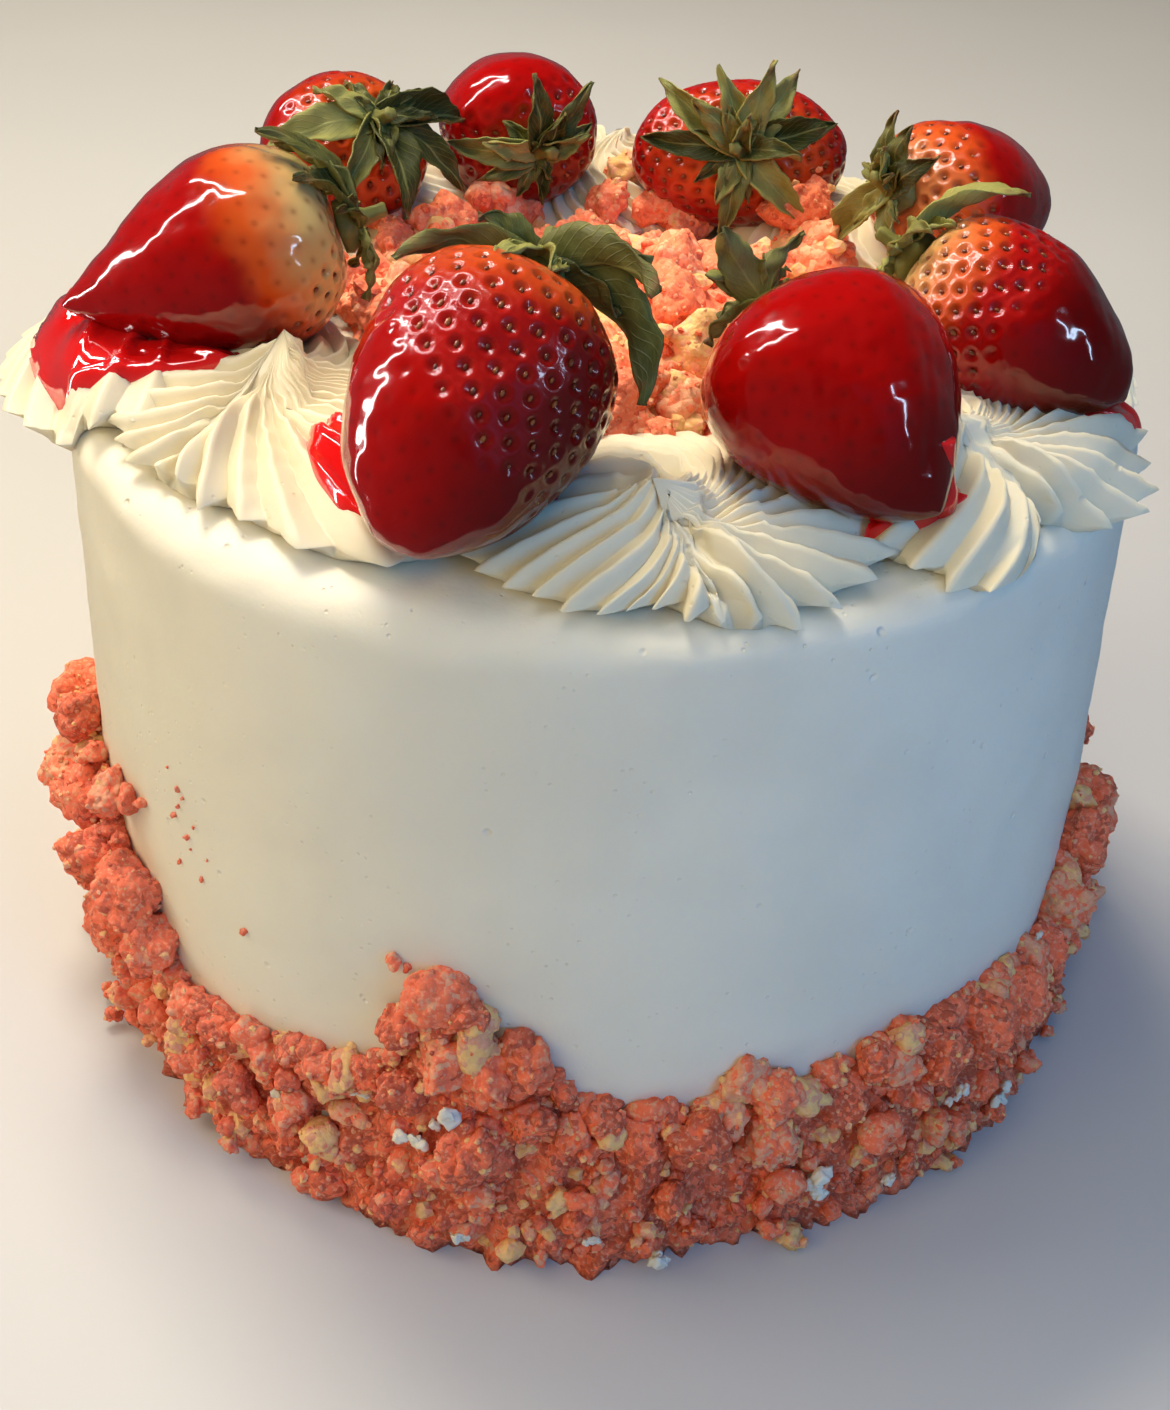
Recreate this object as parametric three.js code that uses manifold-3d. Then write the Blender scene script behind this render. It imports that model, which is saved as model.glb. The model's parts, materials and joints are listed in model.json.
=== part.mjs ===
// Strawberry cheesecake layer cake: a tall frosted round with a crumb skirt at its foot, eight piped
// swirls along its rim, eight glazed strawberries lying between them and a crumb heap in the middle.
//
// Millimetres, +Z up. The origin is the middle of the flat underside, and the front faces -Y.
// Azimuths are degrees about +Z from +X, so the front of the cake is at -90.

import * as THREE from 'three';
import { mergeVertices } from 'three/addons/utils/BufferGeometryUtils.js';
import Module from 'manifold-3d';

const wasm = await Module();
wasm.setup();

// ---- Driving dimensions ------------------------------------------------------------------------

const TOP_RADIUS = 99; // frosted side at the rim
const BASE_RADIUS = 107; // frosted side at the foot, which spreads a little
const CAKE_HEIGHT = 132; // underside to the flat frosted top
const RIM_ROUNDING = 5;
const TOUCH_GAP = 0.32; // clearance between pieces that touch
const WELD = 1e-4; // points nearer than this are one
const SMOOTHED = 0.12; // how far a cut piece may stray from its exact form

// The crumbs pressed round the foot. Levels are shares of their height at an azimuth.
const SKIRT = {
  thickness: 8.5, // how far they stand out from the side at the foot
  footUneven: 0.2, // share of the thickness that comes and goes round the foot
  waist: 0.9, // thickness at the waist, against the foot's
  waistUneven: 0.22,
  lip: 0.6, // thickness at the lip, against the waist's
  height: 36, // usual height on the side
  ragged: 1.5, // small ups and downs of the upper edge
  levels: { foot: 0, shoulder: 0.35, waist: 0.7, lip: 0.94, edge: 1 },
  thin: { azimuth: -138, spread: 17, by: 3.5 }, // where fewer crumbs stick
  steps: 64,
};

// The crumbs heaped on the top. Levels are shares of the radius, from the edge to the middle.
const HEAP = {
  radius: 48,
  edgeUneven: 0.04, // share of the radius that comes and goes round the edge
  height: 12,
  lowest: 2, // height that it keeps out to the edge
  uneven: 1.6,
  fall: 3, // power by which it falls away from the middle
  twist: 70, // degrees that its unevenness turns from the middle to the edge
  levels: [0.95, 0.7, 0.35],
  steps: 30,
};

// Form of every swirl. Levels are shares of its reach, from the edge to the peak.
const SWIRL = {
  height: 11,
  peak: 3.5, // pulled-up point above the dome
  dome: { fall: 2.6, fullness: 0.8 },
  levels: [0.97, 0.8, 0.5, 0.2],
  foot: 0.93, // share of the reach on which it sits
  ridges: 14,
  ridgeDepth: 1.8,
  curl: 36, // degrees that a ridge turns on its way out
};

// Form of every berry, along its length from the leafy end (0) to the tip (1).
const BERRY = { widest: 0.36, shoulder: [2.2, 0.5], taper: [1.9, 0.72], rings: 8, around: 14 };

// Form of every leaf. Stations are [share of the length, share of the width].
const LEAF = {
  width: 8.5,
  thickness: 1.1,
  base: 0.9, // underside above the berry's shoulder, at the stem
  stations: [[0.32, 1], [0.7, 0.75]],
  bend: 75, // degrees that a flat leaf bends back over its length
  bendLost: 0.5, // degrees of that bend lost for each degree of lift
};

const STEM = { radius: 3.4, squash: 0.8, stand: 0.6 };

// Starts of the wobbles, so that no two surfaces repeat each other.
const SEEDS = { skirtTop: 2, heapTop: 3, heapEdge: 4, skirtFoot: 5, skirtWaist: 7 };

// One row for each swirl: where its peak stands on the top, and how far it reaches from there, every
// 45 degrees from along the rim (anticlockwise round the cake), by the outside and the other way along
// the rim to the middle of the cake.
const SWIRLS = [
  { azimuth: -146, radius: 66, reach: [54, 33, 28, 29, 28, 25, 24, 36] },
  { azimuth: -84, radius: 77, reach: [36, 26, 16, 21, 28, 25, 32, 38] },
  { azimuth: -42, radius: 76, reach: [48, 34, 20, 30, 28, 25, 28, 38] },
  { azimuth: -3, radius: 73, reach: [38, 30, 25, 28, 30, 25, 25, 32] },
  { azimuth: 39, radius: 72, reach: [38, 30, 24, 28, 30, 25, 25, 32] },
  { azimuth: 88, radius: 71, reach: [38, 30, 24, 28, 30, 25, 25, 32] },
  { azimuth: 129, radius: 72, reach: [40, 30, 24, 28, 30, 25, 25, 32] },
  { azimuth: 187, radius: 75, reach: [38, 37, 36, 35, 30, 25, 25, 30] },
];

// One row for each strawberry. at: its middle, with z above the frosted top. heading: where its tip
// points in plan. dip: how far the tip points below the horizontal. flat: thickness over width.
// leaves: [turn about the berry's axis, length, lift away from the shoulder], turn 90 being upwards.
const STRAWBERRIES = [
  {
    at: [-70, -18, 20], heading: 193, dip: 14, length: 50, width: 38, flat: 0.92,
    leaves: [[20, 12, 15], [52, 20, 8], [84, 24, 8], [118, 18, 12], [250, 14, 25], [295, 12, 20]],
  },
  {
    at: [-56, 43, 16], heading: 132, dip: 42, length: 37, width: 34, flat: 0.9,
    leaves: [[348, 22, 25], [312, 22, 30], [265, 22, 35], [222, 20, 25], [172, 25, 15], [95, 10, 20],
      [40, 12, 20]],
  },
  {
    at: [-21, 59, 20], heading: 108, dip: 4, length: 36, width: 32, flat: 0.92,
    leaves: [[58, 18, 40], [97, 17, 40], [135, 10, 30], [178, 19, 20], [205, 14, 25], [272, 11, 35],
      [15, 12, 35]],
  },
  {
    at: [26, 57, 16], heading: 88, dip: 24, length: 36, width: 44, flat: 0.66,
    leaves: [[15, 20, 30], [50, 19, 35], [80, 19, 50], [105, 18, 50], [152, 22, 30], [182, 21, 30],
      [265, 18, 30], [312, 20, 25]],
  },
  {
    at: [70, 33, 18], heading: 34, dip: 15, length: 39, width: 33, flat: 0.82,
    leaves: [[35, 16, 40], [75, 15, 45], [108, 15, 40], [160, 10, 30], [232, 19, 25], [300, 14, 30]],
  },
  {
    at: [71, -24, 17], heading: -30, dip: 20, length: 44, width: 34, flat: 0.86,
    leaves: [[50, 15, 20], [98, 24, 4], [150, 14, 25], [230, 12, 30], [310, 12, 20]],
  },
  {
    at: [38.5, -60, 19], heading: -50, dip: 24, length: 43, width: 41, flat: 0.8,
    leaves: [[48, 18, 50], [115, 13, 45], [180, 12, 30], [250, 11, 25], [330, 12, 30]],
  },
  {
    at: [-19.5, -73, 23], heading: -118, dip: 36, length: 47, width: 38, flat: 0.96,
    leaves: [[32, 24, 8], [85, 17, 6], [128, 13, 14], [164, 22, 25], [198, 26, 20], [280, 12, 30]],
  },
];

// Where the crumbs climb higher or lower on the side than usual: azimuth, rise, half spread.
const SKIRT_WAVES = [
  [-157, 26, 11], [-131, -5, 7], [-103, 24, 6], [-94, 12, 6], [-72, 9, 4], [-59, 5, 6], [-47, 4, 8],
  [-29, -5, 4], [-19, 19, 10], [8, 6, 8], [33, 12, 9], [62, -4, 8], [88, 14, 7], [118, 8, 8], [143, 15, 8],
  [172, 9, 9],
];

// ---- Geometry helpers --------------------------------------------------------------------------

const radians = THREE.MathUtils.degToRad;

function polar(azimuth, radius, z) {
  return new THREE.Vector3(radius * Math.cos(radians(azimuth)), radius * Math.sin(radians(azimuth)), z);
}

// Smooth unevenness between -1 and 1 that repeats round the circle and starts elsewhere for each seed.
function wobble(azimuth, seed, turns) {
  const a = radians(azimuth);
  const [slowStart, quickStart] = [1.7 * seed, 4.1 * seed];
  const slowShare = 0.62;
  const slow = Math.sin(turns * a + slowStart);
  const quick = Math.sin((2 * turns + 1) * a + quickStart);
  return slowShare * slow + (1 - slowShare) * quick;
}

// A bell of height 1 about one azimuth.
function bell(azimuth, middle, spread) {
  const away = THREE.MathUtils.euclideanModulo(azimuth - middle + 180, 360) - 180;
  return Math.exp(-((away / spread) ** 2));
}

function geometryOf(points, triangles) {
  const geometry = new THREE.BufferGeometry().setFromPoints(points);
  geometry.setIndex(triangles.flat());
  return geometry;
}

// A closed skin over rings of equal length, with a point closing each end.
function skin(firstPoint, rings, lastPoint) {
  const count = rings[0].length;
  const points = [firstPoint, ...rings.flat(), lastPoint];
  const last = points.length - 1;
  const triangles = [];
  for (let i = 0; i < count; i++) {
    const next = (i + 1) % count;
    triangles.push([0, 1 + next, 1 + i]);
    for (let ring = 0; ring < rings.length - 1; ring++) {
      const here = 1 + ring * count;
      const after = here + count;
      triangles.push([here + i, here + next, after + next], [here + i, after + next, after + i]);
    }
    triangles.push([last, last - count + i, last - count + next]);
  }
  return outward(geometryOf(points, triangles));
}

// A closed band: sections of equal length that follow each other round a loop.
function band(sections) {
  const count = sections[0].length;
  const triangles = [];
  sections.forEach((_, s) => {
    const here = s * count;
    const after = ((s + 1) % sections.length) * count;
    for (let i = 0; i < count; i++) {
      const next = (i + 1) % count;
      triangles.push([here + i, here + next, after + next], [here + i, after + next, after + i]);
    }
  });
  return outward(geometryOf(sections.flat(), triangles));
}

// The geometry with its shared vertices merged and its pole slivers dropped.
function welded(source) {
  const bare = source.clone();
  bare.deleteAttribute('normal');
  bare.deleteAttribute('uv');
  const merged = mergeVertices(bare, WELD);
  const index = merged.index.array;
  const kept = [];
  for (let i = 0; i < index.length; i += 3) {
    const [a, b, c] = [index[i], index[i + 1], index[i + 2]];
    if (a !== b && b !== c && c !== a) kept.push(a, b, c);
  }
  merged.setIndex(kept);
  return merged;
}

function signedVolume(geometry) {
  const position = geometry.attributes.position;
  const index = geometry.index.array;
  const [a, b, c] = [new THREE.Vector3(), new THREE.Vector3(), new THREE.Vector3()];
  let total = 0;
  for (let i = 0; i < index.length; i += 3) {
    a.fromBufferAttribute(position, index[i]);
    b.fromBufferAttribute(position, index[i + 1]);
    c.fromBufferAttribute(position, index[i + 2]);
    total += a.dot(b.cross(c)) / 6;
  }
  return total;
}

// The welded geometry with its faces turned to point out.
function outward(source) {
  const geometry = welded(source);
  if (signedVolume(geometry) < 0) geometry.setIndex(Array.from(geometry.index.array).reverse());
  return geometry;
}

function toSolid(source) {
  const geometry = outward(source);
  const vertProperties = new Float32Array(geometry.attributes.position.array);
  const triVerts = new Uint32Array(geometry.index.array);
  return new wasm.Manifold(new wasm.Mesh({ numProp: 3, vertProperties, triVerts }));
}

// The largest connected body of a solid, so that no loose chip is left where a neighbour was cut away.
function toGeometry(solid) {
  const bodies = solid.decompose();
  const largest = bodies.reduce((best, body) => (body.volume() > best.volume() ? body : best));
  const mesh = largest.simplify(SMOOTHED).getMesh();
  const geometry = new THREE.BufferGeometry();
  geometry.setAttribute('position', new THREE.BufferAttribute(mesh.vertProperties.slice(), 3));
  geometry.setIndex(Array.from(mesh.triVerts));
  return geometry;
}

function joined(solids) {
  return solids.reduce((all, solid) => all.add(solid));
}

function cutBy(solid, tools) {
  return tools.reduce((rest, tool) => rest.subtract(tool), solid);
}

// ---- The frosted round -------------------------------------------------------------------------

function sideRadius(z) {
  return THREE.MathUtils.lerp(BASE_RADIUS, TOP_RADIUS, z / CAKE_HEIGHT);
}

function frostedRound() {
  const profile = [new THREE.Vector2(0, 0)];
  const sideSteps = 5;
  const rimBottom = CAKE_HEIGHT - RIM_ROUNDING;
  for (let i = 0; i <= sideSteps; i++) {
    const z = (i / sideSteps) * rimBottom;
    profile.push(new THREE.Vector2(sideRadius(z), z));
  }
  const rimSteps = 3;
  const rimCentre = sideRadius(rimBottom) - RIM_ROUNDING;
  for (let i = 1; i <= rimSteps; i++) {
    const angle = (i / rimSteps) * (Math.PI / 2);
    const r = rimCentre + RIM_ROUNDING * Math.cos(angle);
    profile.push(new THREE.Vector2(r, rimBottom + RIM_ROUNDING * Math.sin(angle)));
  }
  profile.push(new THREE.Vector2(0, CAKE_HEIGHT));
  const roundSteps = 54;
  return outward(new THREE.LatheGeometry(profile, roundSteps).rotateX(Math.PI / 2));
}

// ---- Crumbs ------------------------------------------------------------------------------------

function skirtTop(azimuth) {
  let top = SKIRT.height + SKIRT.ragged * wobble(azimuth, SEEDS.skirtTop, 9);
  for (const [middle, rise, spread] of SKIRT_WAVES) top += rise * bell(azimuth, middle, spread);
  return top;
}

// The crumbs pressed round the foot: thick at the bottom, thin and ragged where they climb the side.
function crumbSkirt() {
  const { levels, thin } = SKIRT;
  const sections = [];
  for (let i = 0; i < SKIRT.steps; i++) {
    const azimuth = (i / SKIRT.steps) * 360;
    const top = skirtTop(azimuth);
    const at = (level, thickness) => polar(azimuth, sideRadius(level * top) + thickness, level * top);
    const lost = thin.by * bell(azimuth, thin.azimuth, thin.spread);
    const footSwell = 1 + SKIRT.footUneven * wobble(azimuth, SEEDS.skirtFoot, 8);
    const waistSwell = SKIRT.waist + SKIRT.waistUneven * wobble(azimuth, SEEDS.skirtWaist, 11);
    const foot = SKIRT.thickness * footSwell - lost;
    const waist = SKIRT.thickness * waistSwell - lost;
    sections.push([
      at(levels.foot, TOUCH_GAP),
      at(levels.foot, foot),
      at(levels.shoulder, foot),
      at(levels.waist, waist),
      at(levels.lip, SKIRT.lip * waist),
      at(levels.edge, TOUCH_GAP),
    ]);
  }
  return band(sections);
}

function heapHeight(share, azimuth) {
  const dome = (1 - share ** HEAP.fall) * HEAP.height;
  const uneven = HEAP.uneven * wobble(azimuth + HEAP.twist * share, SEEDS.heapTop, 5);
  return Math.max(HEAP.lowest, dome + uneven * (1 - share ** 2));
}

// The crumbs heaped in the middle, out to the swirls and under the berries.
function heapSolid(grow = 0) {
  const base = CAKE_HEIGHT + TOUCH_GAP;
  const swell = (azimuth) => 1 + HEAP.edgeUneven * wobble(azimuth, SEEDS.heapEdge, 4);
  const ring = (share, height) => Array.from({ length: HEAP.steps }, (_, i) => {
    const azimuth = (i / HEAP.steps) * 360;
    const reach = HEAP.radius * swell(azimuth) + grow;
    return polar(azimuth, reach * share, base + height(azimuth) + grow);
  });
  const upper = HEAP.levels.map((share) => ring(share, (azimuth) => heapHeight(share, azimuth)));
  const under = new THREE.Vector3(0, 0, base - grow);
  const top = new THREE.Vector3(0, 0, base + HEAP.height);
  return toSolid(skin(under, [ring(1, () => -grow), ...upper], top));
}

// ---- Piped swirls ------------------------------------------------------------------------------

// How far a swirl reaches from its peak at an angle, smoothly between the reaches of its row.
function swirlReach(angle, reaches) {
  const place = THREE.MathUtils.euclideanModulo(angle / 360, 1) * reaches.length;
  const before = Math.floor(place) % reaches.length;
  const after = (before + 1) % reaches.length;
  return THREE.MathUtils.lerp(reaches[before], reaches[after], THREE.MathUtils.smoothstep(place - before, 0, 1));
}

// One swirl: ridges that fan out from a pulled-up peak, curling as they go, to scalloped ends.
function swirlSolid({ azimuth, radius, reach }, grow = 0) {
  const peak = polar(azimuth, radius, CAKE_HEIGHT + TOUCH_GAP);
  const count = 2 * SWIRL.ridges;
  const ring = (share, height) => Array.from({ length: count }, (_, i) => {
    const angle = (i / count) * 360 - SWIRL.curl * share;
    const crest = i % 2 ? -0.5 : 0.5;
    const scallop = SWIRL.ridgeDepth * crest * share;
    const away = swirlReach(angle, reach) * share + scallop + grow;
    const lift = height > 0 ? scallop * (1 - share ** 2) + grow : -grow;
    // An angle of 0 is along the rim, which is 90 degrees ahead of the peak's azimuth.
    return peak.clone().add(polar(azimuth + 90 - angle, away, height + lift));
  });
  const dome = (share) => SWIRL.height * (1 - share ** SWIRL.dome.fall) ** SWIRL.dome.fullness;
  const upper = SWIRL.levels.map((share) => ring(share, dome(share)));
  const top = peak.clone().add(new THREE.Vector3(0, 0, SWIRL.height + SWIRL.peak + grow));
  const under = peak.clone().add(new THREE.Vector3(0, 0, -grow));
  return toSolid(skin(under, [ring(SWIRL.foot, 0), ...upper], top));
}

// The slice of space between two azimuths, in which a swirl ends against its neighbours.
function sliceSolid(from, to) {
  const reach = 2 * BASE_RADIUS;
  const steps = 4;
  const outline = new THREE.Shape([new THREE.Vector2(0, 0)]);
  for (let i = 0; i <= steps; i++) {
    const corner = polar(from + ((to - from) * i) / steps, reach, 0);
    outline.lineTo(corner.x, corner.y);
  }
  const middle = polar((from + to) / 2, TOUCH_GAP, 0);
  const slice = new THREE.ExtrudeGeometry(outline, { depth: CAKE_HEIGHT, bevelEnabled: false });
  return toSolid(slice.translate(middle.x, middle.y, CAKE_HEIGHT - RIM_ROUNDING));
}

function swirlSlice(index) {
  const count = SWIRLS.length;
  const here = SWIRLS[index].azimuth;
  const before = SWIRLS[(index + count - 1) % count].azimuth;
  const after = SWIRLS[(index + 1) % count].azimuth;
  const back = THREE.MathUtils.euclideanModulo(here - before, 360) / 2;
  const ahead = THREE.MathUtils.euclideanModulo(after - here, 360) / 2;
  return sliceSolid(here - back, here + ahead);
}

// ---- Strawberries ------------------------------------------------------------------------------

// Radius of a berry of unit width and length, from its leafy end (0) to its tip (1).
function berryRadius(share) {
  const { widest } = BERRY;
  const toEnd = share < widest ? (widest - share) / widest : (share - widest) / (1 - widest);
  const [fall, fullness] = share < widest ? BERRY.shoulder : BERRY.taper;
  return 0.5 * (1 - toEnd ** fall) ** fullness;
}

// The frame of a berry: its own +Z leaves it at the leafy end, and its own +Y is its upper side.
function berryFrame({ at, heading, dip, length }) {
  const tip = polar(heading, Math.cos(radians(dip)), -Math.sin(radians(dip)));
  const zAxis = tip.clone().negate();
  const yAxis = new THREE.Vector3(0, 0, 1).projectOnPlane(zAxis).normalize();
  const xAxis = new THREE.Vector3().crossVectors(yAxis, zAxis);
  const middle = new THREE.Vector3(at[0], at[1], CAKE_HEIGHT + at[2]);
  const matrix = new THREE.Matrix4().makeBasis(xAxis, yAxis, zAxis);
  return matrix.setPosition(middle.addScaledVector(zAxis, length / 2));
}

function berryGeometry(berry, grow = 0) {
  const profile = [new THREE.Vector2(0, grow)];
  for (let i = 1; i < BERRY.rings; i++) {
    const share = (1 - Math.cos((Math.PI * i) / BERRY.rings)) / 2;
    profile.push(new THREE.Vector2(berryRadius(share) * berry.width + grow, -share * berry.length));
  }
  profile.push(new THREE.Vector2(0, -berry.length - grow));
  const geometry = new THREE.LatheGeometry(profile, BERRY.around).rotateX(Math.PI / 2);
  return outward(geometry.scale(1, berry.flat, 1).applyMatrix4(berryFrame(berry)));
}

// One leaf in its berry's frame: a pointed blade that leaves the stem, rises by its lift and bends back.
function leafSolid([turn, length, lift]) {
  const bend = LEAF.bend - LEAF.bendLost * lift;
  const curve = (share) => {
    // Reach and rise of an arc that starts at the lift and turns back by the bend over the whole length.
    const [from, to] = [radians(lift), radians(lift - bend * share)];
    const radius = length / radians(bend);
    return [radius * (Math.sin(from) - Math.sin(to)), radius * (Math.cos(to) - Math.cos(from))];
  };
  const out = polar(turn, 1, 0);
  const side = polar(turn + 90, 1, 0);
  const point = (share, across, thick) => {
    const [reach, rise] = curve(share);
    const middle = out.clone().multiplyScalar(reach);
    return middle.addScaledVector(side, across).add(new THREE.Vector3(0, 0, LEAF.base + rise + thick));
  };
  const sections = LEAF.stations.map(([share, wide]) => [
    point(share, (wide * LEAF.width) / 2, 0),
    point(share, 0, LEAF.thickness),
    point(share, (-wide * LEAF.width) / 2, 0),
  ]);
  return toSolid(skin(point(0, 0, LEAF.thickness / 2), sections, point(1, 0, 0)));
}

// The leaves of a berry and the stub of its stem, as one solid.
function calyxSolid(berry) {
  const stub = new THREE.SphereGeometry(STEM.radius, 6, 4).scale(1, 1, STEM.squash);
  const stem = toSolid(stub.translate(0, 0, STEM.radius * STEM.stand));
  return joined([stem, ...berry.leaves.map(leafSolid)]).transform(berryFrame(berry).elements);
}

// ---- The cake ----------------------------------------------------------------------------------

function finish(color, roughness) {
  return new THREE.MeshStandardMaterial({ color, roughness, metalness: 0 });
}

const frosting = finish(0xe9e2d0, 0.55);
const piping = finish(0xf1e8d2, 0.5);
const crumb = finish(0xd9694a, 0.9);
const fruit = finish(0xb4140c, 0.12);
const leaf = finish(0x6f7a3c, 0.6);

const cake = new THREE.Group();

function addPiece(name, geometry, material) {
  const mesh = new THREE.Mesh(geometry, material);
  mesh.name = name;
  cake.add(mesh);
}

// The room that each piece takes, with its gap, which its neighbours are cut by.
const berrySpaces = STRAWBERRIES.map((berry) => toSolid(berryGeometry(berry, TOUCH_GAP)));
const swirlSpaces = SWIRLS.map((swirl) => swirlSolid(swirl, TOUCH_GAP));
const heapSpace = heapSolid(TOUCH_GAP);
const belowLeaves = [...berrySpaces, ...swirlSpaces, heapSpace];

addPiece('cake_round', frostedRound(), frosting);
addPiece('crumb_skirt', crumbSkirt(), crumb);
addPiece('crumb_heap', toGeometry(cutBy(heapSolid(), berrySpaces)), crumb);
SWIRLS.forEach((swirl, i) => {
  const own = swirlSolid(swirl).intersect(swirlSlice(i));
  addPiece(`swirl_${i + 1}`, toGeometry(cutBy(own, [...berrySpaces, heapSpace])), piping);
});
STRAWBERRIES.forEach((berry, i) => {
  addPiece(`strawberry_${i + 1}`, berryGeometry(berry), fruit);
  addPiece(`leaves_${i + 1}`, toGeometry(cutBy(calyxSolid(berry), belowLeaves)), leaf);
});

export default cake;
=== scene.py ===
"""A strawberry cheesecake layer cake, laid out as a Blender add-on and run as a script.

The cake is a tall frosted round. Eight piped swirls and eight glazed strawberries share its rim, crumbs
are heaped in the middle of its top and pressed round its foot. Every piece is in metres, +Z up, with the
origin in the middle of the flat underside and the front facing -Y. Azimuths are degrees about +Z from +X.
"""

import json
import math

import bmesh
import bpy
import numpy as np
from mathutils import Matrix, Vector
from mathutils.bvhtree import BVHTree

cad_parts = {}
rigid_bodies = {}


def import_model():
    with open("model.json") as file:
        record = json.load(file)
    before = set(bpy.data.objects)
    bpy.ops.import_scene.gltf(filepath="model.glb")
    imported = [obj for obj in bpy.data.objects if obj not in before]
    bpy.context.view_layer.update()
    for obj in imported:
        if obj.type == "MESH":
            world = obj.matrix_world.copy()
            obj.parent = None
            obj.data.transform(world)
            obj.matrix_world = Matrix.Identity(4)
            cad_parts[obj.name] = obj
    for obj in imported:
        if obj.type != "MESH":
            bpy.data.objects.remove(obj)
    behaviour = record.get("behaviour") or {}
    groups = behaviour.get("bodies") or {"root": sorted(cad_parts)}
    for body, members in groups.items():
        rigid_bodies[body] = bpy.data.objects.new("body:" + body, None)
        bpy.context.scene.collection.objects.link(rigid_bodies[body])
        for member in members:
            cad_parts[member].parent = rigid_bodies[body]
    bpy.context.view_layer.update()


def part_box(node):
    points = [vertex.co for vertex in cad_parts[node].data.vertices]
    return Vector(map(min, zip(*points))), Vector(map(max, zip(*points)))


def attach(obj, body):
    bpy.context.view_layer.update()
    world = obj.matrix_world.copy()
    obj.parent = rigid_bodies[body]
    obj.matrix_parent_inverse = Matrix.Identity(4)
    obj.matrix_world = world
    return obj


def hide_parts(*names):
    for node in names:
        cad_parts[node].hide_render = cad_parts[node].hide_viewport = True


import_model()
ROUND_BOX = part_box("cake_round")

bl_info = {
    "name": "Strawberry Layer Cake",
    "version": (1, 0, 0),
    "blender": (4, 5, 0),
    "location": "3D View > Sidebar > Cake",
    "description": "Makes a frosted layer cake with piped swirls, glazed strawberries and crumbs",
    "category": "Object",
}

MM = 0.001

# ---- Tables --------------------------------------------------------------------------------------

# One row for each piped swirl: azimuth and radius of its peak, its reach from there every 45 degrees
# from along the rim, by the outside and the other way along the rim to the middle of the cake (as its
# node), the angle of its crease, and the height of its dome and of its pulled-up peak. droop: how far it
# may sag over the rim. edge: its height at its tips. torn: how rough its peak is.
SWIRLS = (
    dict(azimuth=-146, radius=0.066, reach=(54, 33, 28, 29, 28, 25, 24, 36), crease=62, dome=11, peak=6),
    dict(azimuth=-84, radius=0.077, reach=(36, 26, 16, 21, 28, 25, 32, 38), crease=60, dome=11, peak=4,
         torn=2.4),
    dict(azimuth=-42, radius=0.076, reach=(48, 34, 20, 30, 28, 25, 28, 38), crease=86, dome=11, peak=3.5),
    dict(azimuth=-3, radius=0.073, reach=(38, 30, 25, 28, 30, 25, 25, 32), crease=80, dome=11, peak=3),
    dict(azimuth=39, radius=0.072, reach=(38, 30, 24, 28, 30, 25, 25, 32), crease=70, dome=11, peak=3),
    dict(azimuth=88, radius=0.071, reach=(38, 30, 24, 28, 30, 25, 25, 32), crease=76, dome=12, peak=4),
    dict(azimuth=129, radius=0.072, reach=(40, 30, 24, 28, 30, 25, 25, 32), crease=66, dome=12, peak=4),
    dict(azimuth=187, radius=0.075, reach=(38, 37, 36, 35, 30, 25, 25, 30), crease=268, dome=11, peak=3,
         droop=8, edge=5),
)

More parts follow.
